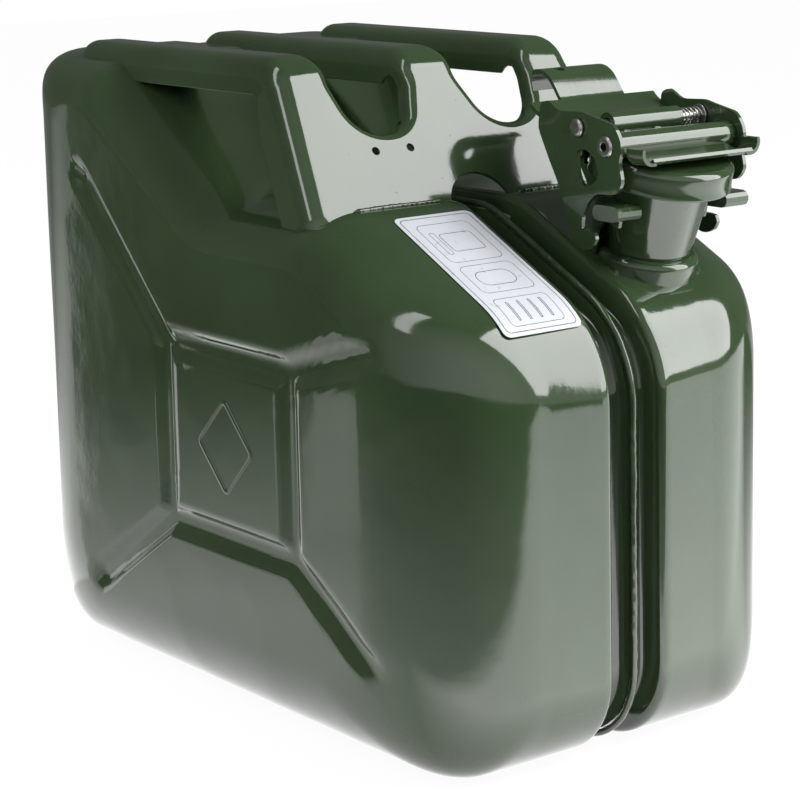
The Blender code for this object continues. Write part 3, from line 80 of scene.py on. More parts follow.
class Graph:
    """The shader nodes of a material or a world, added and linked in code."""

    def __init__(self, owner: bpy.types.ID) -> None:
        """Take over the nodes of a material or a world."""
        owner.use_nodes = True
        self.tree = owner.node_tree

    def add(self, kind: str, inputs: dict | None = None, **settings: object) -> bpy.types.Node:
        """Add a node.

        Args:
            kind: The node's type.
            inputs: Values or sockets for its inputs, by name or index.
            **settings: Properties of the node.

        Returns:
            The new node.
        """
        node = self.tree.nodes.new(kind)
        for key, value in settings.items():
            setattr(node, key, value)
        for key, value in (inputs or {}).items():
            self.feed(node.inputs[key], value)
        return node

    def feed(self, socket: Socket, value: object) -> None:
        """Set a socket to a value, or link it.

        Args:
            socket: The input socket.
            value: A plain value or an output socket.
        """
        if isinstance(value, bpy.types.NodeSocket):
            self.tree.links.new(value, socket)
        else:
            socket.default_value = value

    def ramp(self, value: Socket, low: float, high: float, start: float = 0.0, end: float = 1.0) -> Socket:
        """Return a value mapped from low..high to start..end, clamped."""
        inputs = {"Value": value, "From Min": low, "From Max": high, "To Min": start, "To Max": end}
        return self.add("ShaderNodeMapRange", inputs).outputs[0]

    def math(self, operation: str, first: object, second: object = 0.0) -> Socket:
        """Return the result of a Math node on one or two values."""
        return self.add("ShaderNodeMath", {0: first, 1: second}, operation=operation).outputs[0]

    def product(self, *values: object) -> Socket:
        """Return the product of two or more values."""
        return reduce(lambda first, second: self.math("MULTIPLY", first, second), values)

    def vector(self, operation: str, first: object, second: object = (0.0, 0.0, 0.0)) -> bpy.types.Node:
        """Return a Vector Math node on one or two vectors."""
        return self.add("ShaderNodeVectorMath", {0: first, 1: second}, operation=operation)

    def mix(self, factor: object, first: object, second: object) -> Socket:
        """Return a blend of two colours, where a factor of 1 gives the second."""
        node = self.add("ShaderNodeMix", {"Factor": factor, "A": first, "B": second}, data_type="RGBA")
        return node.outputs["Result"]


class FinishGraph(Graph):
    """The nodes of one material round its Principled shader, on the object's own coordinates."""

    def __init__(self, name: str) -> None:
        """Make the material.

        Args:
            name: The material's name.
        """
        self.material = bpy.data.materials.new(name)
        super().__init__(self.material)
        self.shader = self.tree.nodes["Principled BSDF"]
        self.place = self.add("ShaderNodeTexCoord").outputs["Object"]

    def noise(self, scale: float, detail: float = 2.0, roughness: float = 0.5) -> Socket:
        """Return noise with its repeats per metre, its octaves and the weight of the fine ones."""
        inputs = {"Vector": self.place, "Scale": scale, "Detail": detail, "Roughness": roughness}
        return self.add("ShaderNodeTexNoise", inputs).outputs[0]

    def bump(self, height: Socket, distance: float, under: Socket | None = None) -> Socket:
        """Return a normal bent by a height.

        Args:
            height: The height pattern, from 0 to 1.
            distance: The height of 1, in metres.
            under: A normal to build on.

        Returns:
            The normal socket.
        """
        node = self.add("ShaderNodeBump", {"Height": height, "Distance": distance, "Strength": 1.0})
        if under is not None:
            self.feed(node.inputs["Normal"], under)
        return node.outputs[0]

    def finish(self, **values: object) -> Material:
        """Feed the shader's inputs.

        Args:
            **values: Values or sockets by the input's name, with _ for a space.

        Returns:
            The material.
        """
        for name, value in values.items():
            self.feed(self.shader.inputs[name.replace("_", " ")], value)
        return self.material


def rgba(colour: Colour) -> tuple[float, float, float, float]:
    """Return a colour with full alpha."""
    return (*colour, 1.0)


@dataclass(frozen=True)
class GlossPaint:
    """Thick glossy enamel with orange peel, specks, and soot or worn spots where asked for."""

    name: str
    colour: Colour = (0.0260, 0.0470, 0.0195)
    shade: Colour = (0.0205, 0.0380, 0.0155)
    speck: Colour = (0.004, 0.005, 0.003)
    dirt: Colour = (0.012, 0.007, 0.004)
    bare: Colour = (0.42, 0.41, 0.38)
    roughness: float = 0.085
    bare_roughness: float = 0.38
    peel: float = 0.00002
    wear: float = 0.0
    soot: float = 0.0
    cloud_scale: float = 26.0
    speck_scale: float = 260.0
    speck_size: Point2 = (0.075, 0.045)
    soot_scale: float = 210.0
    peel_scale: float = 420.0
    sag_scale: float = 60.0
    chip_scale: float = 380.0
    chip_level: float = 0.745
    ior: float = 1.52
    coat: float = 0.35
    coat_roughness: float = 0.03

    def build(self) -> Material:
        """Make the paint.

        Returns:
            The material.
        """
        graph = FinishGraph(self.name)
        clouds = graph.ramp(graph.noise(self.cloud_scale, 3.0), 0.35, 0.70)
        colour = graph.mix(clouds, rgba(self.colour), rgba(self.shade))
        cells = graph.add("ShaderNodeTexVoronoi", {"Vector": graph.place, "Scale": self.speck_scale})
        gate = graph.ramp(graph.noise(90.0, 1.0), 0.60, 0.64)
        dots = graph.product(graph.ramp(cells.outputs["Distance"], *self.speck_size), gate)
        colour = graph.mix(graph.product(dots, 0.7), colour, rgba(self.speck))
        if self.soot > 0.0:
            streaks = graph.ramp(graph.noise(self.soot_scale, 4.0, 0.65), 0.42, 0.66, 0.0, self.soot)
            colour = graph.mix(streaks, colour, rgba(self.dirt))
        normal = graph.bump(graph.noise(self.peel_scale, 2.0, 0.4), self.peel)
        normal = graph.bump(graph.noise(self.sag_scale, 1.0), self.peel * 6.0, normal)
        normal = graph.bump(graph.math("SUBTRACT", 1.0, dots), self.peel * 2.0, normal)
        roughness = graph.ramp(graph.noise(33.0, 3.0), 0.3, 0.75, self.roughness * 0.8, self.roughness * 1.5)
        metallic: object = 0.0
        if self.wear > 0.0:
            level = self.chip_level - self.wear
            metallic = graph.ramp(graph.noise(self.chip_scale, 4.0, 0.7), level, level + 0.02)
            colour = graph.mix(metallic, colour, rgba(self.bare))
            roughness = graph.math("MAXIMUM", roughness, graph.product(metallic, self.bare_roughness))
        return graph.finish(Base_Color=colour, Roughness=roughness, Metallic=metallic, Normal=normal,
                            IOR=self.ior, Coat_Weight=self.coat, Coat_Roughness=self.coat_roughness)


@dataclass(frozen=True)
class PlainSteel:
    """Zinc-bright steel with fine scratches and grey stains."""

    name: str
    colour: Colour = (0.58, 0.57, 0.54)
    stain: Colour = (0.30, 0.29, 0.27)
    roughness: float = 0.28
    stain_scale: float = 240.0
    scratch_scale: float = 2600.0
    scratch_stretch: tuple[float, float, float] = (1.0, 0.05, 1.0)
    scratch_depth: float = 0.000006

    def build(self) -> Material:
        """Make the steel.

        Returns:
            The material.
        """
        graph = FinishGraph(self.name)
        stain = graph.ramp(graph.noise(self.stain_scale, 4.0), 0.35, 0.75)
        stretch = graph.add("ShaderNodeMapping", {"Vector": graph.place, "Scale": self.scratch_stretch})
        inputs = {"Vector": stretch.outputs[0], "Scale": self.scratch_scale, "Detail": 2.0}
        lines = graph.add("ShaderNodeTexNoise", inputs).outputs[0]
        return graph.finish(
            Base_Color=graph.mix(stain, rgba(self.colour), rgba(self.stain)),
            Roughness=graph.ramp(stain, 0.0, 1.0, self.roughness, self.roughness * 1.7),
            Normal=graph.bump(lines, self.scratch_depth), Metallic=1.0,
        )


@dataclass(frozen=True)
class BlackRubber:
    """Matte gasket rubber."""

    name: str = "gasket_rubber"
    colour: Colour = (0.020, 0.020, 0.021)
    bloom: Colour = (0.034, 0.034, 0.033)
    grain_scale: float = 900.0
    grain_depth: float = 0.00003

    def build(self) -> Material:
        """Make the rubber.

        Returns:
            The material.
        """
        graph = FinishGraph(self.name)
        grain = graph.noise(self.grain_scale, 3.0)
        return graph.finish(
            Base_Color=graph.mix(grain, rgba(self.colour), rgba(self.bloom)),
            Roughness=graph.ramp(grain, 0.3, 0.7, 0.62, 0.82),
            Normal=graph.bump(grain, self.grain_depth),
        )


@dataclass(frozen=True)
class Sticker:
    """White label film with a thin printed frame, boxes with plain drawings and a few short bars."""

    name: str = "label_film"
    ink: Colour = (0.012, 0.012, 0.013)
    film: Colour = (0.47, 0.485, 0.52)
    tint: Colour = (0.43, 0.445, 0.475)
    dust: Colour = (0.40, 0.41, 0.40)
    line_soft: float = 0.00006
    frames: tuple[tuple[Point2, Point2, float, float], ...] = (
        ((0.0, 0.0), (0.0367, 0.0167), 0.0022, 0.00022),
        ((-0.0190, 0.0), (0.0130, 0.0125), 0.0030, 0.00015),
        ((-0.0190, 0.0015), (0.0060, 0.0075), 0.0016, 0.00018),
        ((-0.0190, -0.0085), (0.0075, 0.0011), 0.0010, 0.00014),
        ((0.0060, 0.0), (0.0090, 0.0125), 0.0030, 0.00015),
        ((0.0060, -0.0005), (0.0045, 0.0085), 0.0040, 0.00018),
        ((0.0268, 0.0), (0.0075, 0.0125), 0.0020, 0.00015),
    )
    bar_count: int = 4
    bar_place: Point2 = (0.0268, 0.0080)
    bar_pitch: float = 0.0052
    bar_half: Point2 = (0.0050, 0.0004)
    bar_corner: float = 0.0003
    bar_line: float = 0.00020

    def frame_line(self, graph: FinishGraph, centre: Point2, half: Point2, corner: float,
                   width: float) -> Socket:
        """Return where a rounded rectangle's line is printed.

        Args:
            graph: The node graph.
            centre: The rectangle's centre on the label.
            half: Half of its length and width.
            corner: Its corner radius.
            width: Half of the line's width.

        Returns:
            A socket that is 1 on the line.
        """
        place = graph.add("ShaderNodeUVMap").outputs[0]
        moved = graph.vector("ADD", place, (-centre[0], -centre[1], 0.0)).outputs[0]
        folded = graph.vector("ABSOLUTE", moved).outputs[0]
        beyond = graph.vector("ADD", folded, (corner - half[0], corner - half[1], 0.0)).outputs[0]
        clipped = graph.vector("MAXIMUM", beyond).outputs[0]
        length = graph.vector("LENGTH", clipped).outputs["Value"]
        axes = graph.add("ShaderNodeSeparateXYZ", {0: beyond}).outputs
        inside = graph.math("MINIMUM", graph.math("MAXIMUM", axes[0], axes[1]), 0.0)
        distance = graph.math("ABSOLUTE", graph.math("SUBTRACT", graph.math("ADD", length, inside), corner))
        return graph.ramp(distance, width + self.line_soft, width - self.line_soft)

    def build(self) -> Material:
        """Make the label's film.

        Returns:
            The material.
        """
        graph = FinishGraph(self.name)
        shapes = list(self.frames)
        for row in range(self.bar_count):
            centre = (self.bar_place[0], self.bar_place[1] - self.bar_pitch * row)
            shapes.append((centre, self.bar_half, self.bar_corner, self.bar_line))
        printed = self.frame_line(graph, *shapes[0])
        for shape in shapes[1:]:
            printed = graph.math("MAXIMUM", printed, self.frame_line(graph, *shape))
        printed = graph.product(printed, graph.ramp(graph.noise(900.0, 3.0), 0.30, 0.62, 0.72, 1.0))
        film = graph.mix(graph.ramp(graph.noise(60.0, 4.0), 0.35, 0.75), rgba(self.film), rgba(self.tint))
        dust = graph.ramp(graph.noise(700.0, 3.0, 0.7), 0.66, 0.72, 0.0, 0.5)
        film = graph.mix(dust, film, rgba(self.dust))
        return graph.finish(
            Base_Color=graph.mix(printed, film, rgba(self.ink)),
            Roughness=graph.ramp(graph.noise(140.0, 2.0), 0.3, 0.7, 0.26, 0.38),
            Normal=graph.bump(graph.noise(190.0, 2.0), 0.00004),
        )


@dataclass(frozen=True)
class Backdrop:
    """Pale floor: white to the camera, and to mirrors a painted glow that is bright in places and dark far
    off.

    Mirrors see painted reflections: a round pool of painted light under the can, a painted lit table in front
    of its spout end, a painted wedge behind it and a painted card. The wedge and the card are measured from
    the apex, by slope and distance.
    """

    name: str = "studio_floor"
    colour: Colour = (0.86, 0.86, 0.86)
    camera_level: float = 1.05
    camera_share: float = 0.90
    mirror_share: float = 0.98
    # Sizes and levels of the painted pool, painted table, painted wedge and painted card that mirrors see on
    # the floor.
    near: float = 0.22
    far: float = 0.85
    close: float = 1.2
    dim: float = 0.04
    bright: float = 2.4
    bright_slope: float = 0.735
    bright_side: Point2 = (-0.365, -0.305)
    bright_start: Point2 = (0.13, 0.22)
    apex: Point2 = (0.8343, 0.4257)
    rear: float = 2.2
    rear_start: Point2 = (-0.17, -0.19)
    rear_slopes: Point2 = (0.559, 0.553)
    rear_fade: Point2 = (0.25, 0.48)
    # The painted card: a bright band painted on the floor, seen only in mirrors.
    painted_card_glow: float = 0.95
    painted_card_start: Point2 = (0.0, -0.05)
    painted_card_low: Point2 = (0.678, 0.682)
    painted_card_high: Point2 = (0.806, 0.794)
    painted_card_near: Point2 = (1.20, 1.24)
    painted_card_far: Point2 = (1.65, 1.59)

    def mirrored(self, graph: FinishGraph) -> Socket:
        """Return the glow painted on the floor for mirrors, which gives the can its painted reflections.

        Args:
            graph: The floor's nodes.

        Returns:
            The level's socket.
        """
        x, y, _ = graph.add("ShaderNodeSeparateXYZ", {0: graph.place}).outputs
        # Painted light: a round pool of light painted under the can, seen only in mirrors.
        pool = graph.ramp(graph.vector("LENGTH", graph.place).outputs["Value"], self.near, self.far, 1.0, 0.0)
        pool = graph.math("ADD", graph.product(pool, pool, self.close), self.dim)
        # Painted light: a lit patch of table painted in front of the spout end, seen only in mirrors.
        side = graph.math("SUBTRACT", y, graph.product(x, self.bright_slope))
        lit = graph.product(graph.ramp(side, *self.bright_side), graph.ramp(x, *self.bright_start))
        painted_table_light = graph.product(lit, self.bright)
        rise, run = graph.math("SUBTRACT", y, self.apex[1]), graph.math("SUBTRACT", x, self.apex[0])
        slope = graph.math("DIVIDE", rise, run)
        away = graph.vector("DISTANCE", graph.place, (*self.apex, 0.0)).outputs["Value"]
        # Painted reflection: a bright wedge painted behind the can, measured from the apex.
        wedge = graph.product(
            graph.ramp(slope, *self.rear_slopes), graph.ramp(x, *self.rear_start),
            graph.ramp(slope, *self.rear_fade, 0.25, 1.0), self.rear,
        )
        # Painted reflection: a bright card band painted on the floor, seen only in mirrors.
        painted_card_glow = graph.product(
            graph.ramp(slope, *self.painted_card_low), graph.ramp(slope, *self.painted_card_high),
            graph.ramp(away, *self.painted_card_far), graph.ramp(away, *self.painted_card_near),
            graph.ramp(x, *self.painted_card_start), self.painted_card_glow,
        )
        level = graph.math("MAXIMUM", graph.math("ADD", pool, painted_table_light), graph.math("DIVIDE", wedge, away))
        return graph.math("MAXIMUM", level, painted_card_glow)

    def build(self) -> Material:
        """Make the floor's material.

        Returns:
            The material.
        """
        graph = FinishGraph(self.name)
        graph.finish(Base_Color=rgba(self.colour), Roughness=0.9, Specular_IOR_Level=0.1)
        path = graph.add("ShaderNodeLightPath").outputs
        # Painted reflection: glossy rays see the floor glow with the painted pool, table, wedge and card. The
        # camera sees plain white.
        mirror = graph.add("ShaderNodeCombineColor", {0: self.mirrored(graph)}).outputs[0]
        strength = graph.mix(path["Is Camera Ray"], mirror, rgba((self.camera_level, 0.0, 0.0)))
        level = graph.add("ShaderNodeSeparateColor", {0: strength}).outputs[0]
        white = graph.add("ShaderNodeEmission", {"Color": rgba(WHITE), "Strength": level})
        seen = graph.product(path["Is Camera Ray"], self.camera_share)
        share = graph.math("MAXIMUM", seen, graph.product(path["Is Glossy Ray"], self.mirror_share))
        share = graph.math("MAXIMUM", share, path["Is Transmission Ray"])
        mixed = graph.add("ShaderNodeMixShader", {0: share, 1: graph.shader.outputs[0], 2: white.outputs[0]})
        output = next(node for node in graph.tree.nodes if node.type == "OUTPUT_MATERIAL")
        graph.tree.links.new(mixed.outputs[0], output.inputs["Surface"])
        return graph.material


# Mesh helpers


def deselect_all() -> None:
    """Leave edit mode and deselect every object."""
    if bpy.context.object is not None and bpy.context.object.mode != "OBJECT":
        bpy.ops.object.mode_set(mode="OBJECT")
    bpy.ops.object.select_all(action="DESELECT")


def activate(piece: Piece) -> None:
    """Make one object the only selected one.

    Args:
        piece: The object.
    """
    deselect_all()
    piece.select_set(True)
    bpy.context.view_layer.objects.active = piece


@contextmanager
def editing(piece: Piece) -> Iterator[None]:
    """Keep an object in edit mode for the block, with all of it selected at the start.

    Args:
        piece: The object.

    Yields:
        Nothing.
    """
    activate(piece)
    bpy.ops.object.mode_set(mode="EDIT")
    bpy.ops.mesh.select_all(action="SELECT")
    yield
    bpy.ops.object.mode_set(mode="OBJECT")


def linked(name: str, data: bpy.types.ID) -> Piece:
    """Link a new object into the scene.

    Args:
        name: Its name.
        data: Its mesh, curve, lamp or camera.

    Returns:
        The new object.
    """
    piece = bpy.data.objects.new(name, data)
    bpy.context.scene.collection.objects.link(piece)
    return piece


def from_points(name: str, points: list, edges: list, faces: list) -> Piece:
    """Make a mesh and link it into the scene.

    Args:
        name: The object's name.
        points: Places of the vertices.
        edges: Pairs of vertices.
        faces: Loops of vertices.

    Returns:
        The new object.
    """
    mesh = bpy.data.meshes.new(name)
    mesh.from_pydata(points, edges, faces)
    return linked(name, mesh)


def ring_faces(rings: int, columns: int, closed: bool = False) -> list[tuple[int, ...]]:
    """Return the faces between rings of points that follow one another.

    Args:
        rings: Number of rings.
        columns: Points in each ring.
        closed: Whether the last ring meets the first.

    Returns:
        Four-sided faces, as indices of the points.
    """
    faces = []
    for ring in range(rings if closed else rings - 1):
        base, below = ring * columns, (ring + 1) % rings * columns
        for index in range(columns):
            follow = (index + 1) % columns
            faces.append((base + index, below + index, below + follow, base + follow))
    return faces


def settle(piece: Piece) -> None:
    """Put an object's place into its mesh."""
    activate(piece)
    bpy.ops.object.transform_apply(location=True, rotation=True, scale=True)


def smooth(piece: Piece, degrees: float) -> None:
    """Shade an object smooth up to an angle."""
    activate(piece)
    bpy.ops.object.shade_smooth_by_angle(angle=math.radians(degrees))


def modify(piece: Piece, kind: str, **settings: object) -> None:
    """Add a modifier and apply it.

    Args:
        piece: The object.
        kind: The modifier's type.
        **settings: The modifier's properties.
    """
    activate(piece)
    modifier = piece.modifiers.new(kind.lower(), kind)
    for key, value in settings.items():
        setattr(modifier, key, value)
    bpy.ops.object.modifier_apply(modifier=modifier.name)


def face_out(piece: Piece) -> None:
    """Turn all faces of an object outwards."""
    with editing(piece):
        bpy.ops.mesh.normals_make_consistent(inside=False)


def dress(piece: Piece, body: Body, nodes: list[str], finish: Material) -> None:
    """Give a finished piece its material and its place in the frame.

    Args:
        piece: The finished piece.
        body: The body that carries it.
        nodes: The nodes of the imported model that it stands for.
        finish: Its material.
    """
    piece.data.materials.clear()
    piece.data.materials.append(finish)
    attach(piece, body.value)
    if nodes:
        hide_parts(*nodes)
    LOG.info("%s rides on %s", piece.name, body.value)


def coat(node: str, finish: Material) -> None:
    """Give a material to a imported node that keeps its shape.

    Args:
        node: The node's name.
        finish: Its material.
    """
    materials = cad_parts[node].data.materials
    materials.clear()
    materials.append(finish)
    LOG.info("%s keeps its packed shape", node)


def refined(node: str, edge: float, segments: int = 2, crease: float = 28.0) -> Piece:
    """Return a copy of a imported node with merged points, rounded edges and smooth faces.

    Args:
        node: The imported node's name.
        edge: Width of the rounded edges, in metres.
        segments: Steps across each rounded edge.
        crease: Edges sharper than this many degrees are rounded.

    Returns:
        The new piece.
    """
    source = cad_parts[node]
    mesh = source.data.copy()
    mesh.transform(source.matrix_world)
    piece = linked(node + "_finished", mesh)
    with editing(piece):
        bpy.ops.mesh.remove_doubles(threshold=MERGE_DISTANCE)
        bpy.ops.mesh.dissolve_limited(angle_limit=math.radians(1.5))
    if edge > 0.0:
        modify(piece, "BEVEL", width=edge, segments=segments, limit_method="ANGLE",
               angle_limit=math.radians(crease), harden_normals=False, use_clamp_overlap=True)
    smooth(piece, 40.0)
    modify(piece, "WEIGHTED_NORMAL", keep_sharp=True, weight=70)
    return piece


def spun(name: str, profile: list[Point2], placing: Matrix, steps: int = 128) -> Piece:
    """Return a closed profile of (radius, height) spun about the Z axis of a placing.

    Args:
        name: The piece's name.
        profile: Points round the section, closed at its end.
        placing: Where the spun piece stands.
        steps: Steps round the axis.

    Returns:
        The new piece.
    """
    count = len(profile)
    points = [(radius, 0.0, height) for radius, height in profile]
    piece = from_points(name, points, [(index, (index + 1) % count) for index in range(count)], [])
    with editing(piece):
        bpy.ops.mesh.spin(steps=steps, angle=math.tau, center=(0.0, 0.0, 0.0), axis=(0.0, 0.0, 1.0))
        bpy.ops.mesh.select_all(action="SELECT")
        bpy.ops.mesh.remove_doubles(threshold=MERGE_DISTANCE)
        bpy.ops.mesh.normals_make_consistent(inside=False)
    piece.matrix_world = placing
    settle(piece)
    smooth(piece, 50.0)
    return piece


def arc(centre: Point2, radius: float, start: float, end: float, steps: int) -> list[Point2]:
    """Return points on an arc between two angles in degrees, both ends included."""
    angles = [math.radians(start + (end - start) * step / steps) for step in range(steps + 1)]
    return [(centre[0] + radius * math.cos(angle), centre[1] + radius * math.sin(angle)) for angle in angles]


def round_corner(before: Vector, corner: Vector, after: Vector, radius: float,
                 steps: int) -> tuple[Vector, list[Vector], float]:
    """Fit an arc into a corner of an outline that runs anticlockwise.

    Args:
        before: The corner before it.
        corner: The corner.
        after: The corner after it.
        radius: The arc's radius.
        steps: Steps round the arc.

    Returns:
        The arc's centre, its spokes and 1 for an outer corner or -1 for an inner one.
    """
    behind = (corner - before).normalized()
    ahead = (after - corner).normalized()
    turn = math.atan2(behind.x * ahead.y - behind.y * ahead.x, behind.dot(ahead))
    side = math.copysign(1.0, turn)
    inward = Vector((-behind.y, behind.x)) * side
    centre = corner - behind * radius * math.tan(abs(turn) / 2) + inward * radius
    base = math.atan2(-inward.y, -inward.x)
    angles = [base + turn * step / steps for step in range(steps + 1)]
    return centre, [Vector((math.cos(angle), math.sin(angle))) for angle in angles], side


def fillet(corners: list[tuple[float, float, float]], steps: int) -> list[tuple[Vector, Vector]]:
    """Round the corners of a closed outline that runs anticlockwise.

    Args:
        corners: Corners as (x, y, radius).
        steps: Steps round each corner.

    Returns:
        Points with their outward normals.
    """
    result = []
    places = [Vector(corner[:2]) for corner in corners]
    for index, (place, corner) in enumerate(zip(places, corners)):
        after = places[(index + 1) % len(places)]
        centre, spokes, side = round_corner(places[index - 1], place, after, corner[2], steps)
        result += [(centre + spoke * corner[2], spoke * side) for spoke in spokes]
    return result


@dataclass(frozen=True)
class WeldBead:
    """A round cord of weld metal with ripples and lumps, along a line."""

    radius: float
    closed: bool
    sides: int = 12
    lump_scale: float = 150.0
    sway_scale: float = 60.0
    sway: float = 0.00025

    def build(self, name: str, places: list[Vector], outs: list[Vector]) -> Piece:
        """Lay the bead.

        Args:
            name: The piece's name.
            places: Points of the line.
            outs: Outward direction at each point.

        Returns:
            The new piece.
        """
        points = []
        count = len(places)
        for index, (place, out) in enumerate(zip(places, outs)):
            ahead = places[(index + 1) % count] if self.closed or index + 1 < count else place
            behind = places[index - 1] if self.closed or index > 0 else place
            across = (ahead - behind).normalized().cross(out)
            tip = 1.0 if self.closed else min(1.0, 0.15 + 0.35 * min(index, count - 1 - index))
            for turn in range(self.sides):
                angle = math.tau * turn / self.sides
                spoke = out * math.cos(angle) + across * math.sin(angle)
                lump = noise.noise(Vector((index * 0.37, turn * 0.5, 0.0)) + place * self.lump_scale)
                ripple = 0.5 + 0.5 * math.sin(index * 1.9)
                size = self.radius * tip * (0.86 + 0.16 * lump + 0.10 * ripple)
                sway = across * self.sway * noise.noise(place * self.sway_scale)
                points.append(place + spoke * size + sway)
        faces = ring_faces(count, self.sides, self.closed)
        if not self.closed:
            faces.append(tuple(range(self.sides)))
            faces.append(tuple(range((count - 1) * self.sides, count * self.sides)))
        piece = from_points(name, points, [], faces)
        face_out(piece)
        smooth(piece, 60.0)
        return piece


# The can's pressed halves


def eased(share: float | np.ndarray) -> float | np.ndarray:
    """Return a share held between 0 and 1, with a soft start and end."""
    held = np.clip(share, 0.0, 1.0)
    return held * held * (3.0 - 2.0 * held)


def level_row(flat: np.ndarray, y: float) -> np.ndarray:
    """Return points of the side view as places at one y."""
    return np.column_stack((flat[:, 0], np.full(len(flat), y), flat[:, 1]))


@dataclass(frozen=True)
class SideOutline:
    """The can's outline seen from the side, at the seam and at the flat face."""

    length: float = 0.315
    deck_height: float = 0.209
    deck_length: float = 0.070
    hump_rise: float = 0.053
    hump_angle: float = math.radians(33.0)
    shoulder_angle: float = math.radians(25.8)
    shoulder_run: float = 0.0856
    face_insets: tuple[float, float, float] = (0.0545, 0.036, 0.021)
    radii: tuple[float, ...] = (0.036, 0.046, 0.030, 0.040, 0.020, 0.025, 0.036)
    face_share: tuple[float, ...] = (0.8, 0.8, 1.0, 1.0, 0.5, 0.4, 0.8)
    arc_steps: int = 14
    straight_steps: tuple[int, ...] = (62, 30, 16, 38, 26, 92, 100)

    def corners(self, end: float, bottom: float, top: float) -> list[Vector]:
        """Return the outline's corners with each wall moved in.

        Args:
            end: Inset of both end walls.
            bottom: Inset of the bottom.
            top: Inset of everything above.

        Returns:
            Seven corners, anticlockwise from the front foot.
        """
        front = self.length / 2
        deck_front = front - self.shoulder_run
        deck_rear = deck_front - self.deck_length
        bend = self.deck_height - self.shoulder_run * math.tan(self.shoulder_angle)
        hump = self.deck_height + self.hump_rise
        places = [
            (front, 0.0), (front, bend), (deck_front, self.deck_height), (deck_rear, self.deck_height),
            (deck_rear - self.hump_rise / math.tan(self.hump_angle), hump), (-front, hump), (-front, 0.0),
        ]
        corners = [Vector(place) for place in places]
        insets = [end, top, top, top, top, end, bottom]
        moved = []
        for index, corner in enumerate(corners):
            ahead = (corners[(index + 1) % len(corners)] - corner).normalized()
            behind = (corner - corners[index - 1]).normalized()
            start = corner + Vector((-ahead.y, ahead.x)) * insets[index]
            other = corner + Vector((-behind.y, behind.x)) * insets[index - 1]
            cross = behind.x * ahead.y - behind.y * ahead.x
            offset = start - other
            moved.append(other + behind * ((offset.x * ahead.y - offset.y * ahead.x) / cross))
        return moved

    def rounded(self, corners: list[Vector], radii: list[float]) -> tuple[np.ndarray, np.ndarray]:
        """Round the corners and fill the straights with evenly spaced points.

        Args:
            corners: The outline's corners.
            radii: One radius each.

        Returns:
            Points and outward normals, the same count for every call.
        """
        arcs = []
        for index, corner in enumerate(corners):
            after = corners[(index + 1) % len(corners)]
            arcs.append(round_corner(corners[index - 1], corner, after, radii[index], self.arc_steps))
        points: list[Vector] = []
        normals: list[Vector] = []
        for index, (centre, spokes, side) in enumerate(arcs):
            points += [centre + spoke * radii[index] for spoke in spokes]
            normals += [spoke * side for spoke in spokes]
            follow = (index + 1) % len(arcs)
            target = arcs[follow][0] + arcs[follow][1][0] * radii[follow]
            last = points[-1]
            steps = self.straight_steps[index]
            points += [last.lerp(target, step / steps) for step in range(1, steps)]
            normals += [normals[-1]] * (steps - 1)
        return np.array(points), np.array(normals)

    def seam(self) -> tuple[np.ndarray, np.ndarray]:
        """Return the outline at the seam, with its normals."""
        return self.rounded(self.corners(0.0, 0.0, 0.0), list(self.radii))

    def face(self) -> np.ndarray:
        """Return the outline of the flat side face."""
        radii = [radius * share for radius, share in zip(self.radii, self.face_share)]
        return self.rounded(self.corners(*self.face_insets), radii)[0]


@dataclass(frozen=True)
class PressedGrooves:
    """The frame and its four arms pressed into each side face."""

    centre: Point2 = (0.018, 0.1135)
    size: Point2 = (0.088, 0.074)
    reach: float = 0.060
    signs: tuple[Point2, ...] = ((-1, 1), (1, 1), (1, -1), (-1, -1))
    arms: tuple[Point2, ...] = ((-1.02, 1.00), (0.97, 0.28), (1.0, -0.62), (-0.97, -0.62))
    half_width: float = 0.0072
    depth: float = 0.0030
    wall_share: float = 0.62

    def segments(self) -> list[tuple[Point2, Point2]]:
        """Return the grooves' centre lines.

        Returns:
            Start and end of each line in the side view.
        """
        half_x, half_z = self.size[0] / 2, self.size[1] / 2
        corners = [(self.centre[0] + x * half_x, self.centre[1] + z * half_z) for x, z in self.signs]
        lines = [(corner, corners[(index + 1) % len(corners)]) for index, corner in enumerate(corners)]
        for corner, share in zip(corners, self.arms):
            lines.append((corner, (corner[0] + share[0] * self.reach, corner[1] + share[1] * self.reach)))
        return lines

    def depth_at(self, x: np.ndarray, z: np.ndarray) -> np.ndarray:
        """Return how deep the pressing is at each place.

        Args:
            x: Places along the can.
            z: Heights.

        Returns:
            Depths in metres.
        """
        deepest = np.zeros_like(x)
        for (x0, z0), (x1, z1) in self.segments():
            run, rise = x1 - x0, z1 - z0
            share = np.clip(((x - x0) * run + (z - z0) * rise) / (run * run + rise * rise), 0.0, 1.0)
            distance = np.hypot(x - x0 - share * run, z - z0 - share * rise)
            wall = eased((1.0 - distance / self.half_width) / self.wall_share)
            deepest = np.maximum(deepest, self.depth * wall)
        return deepest


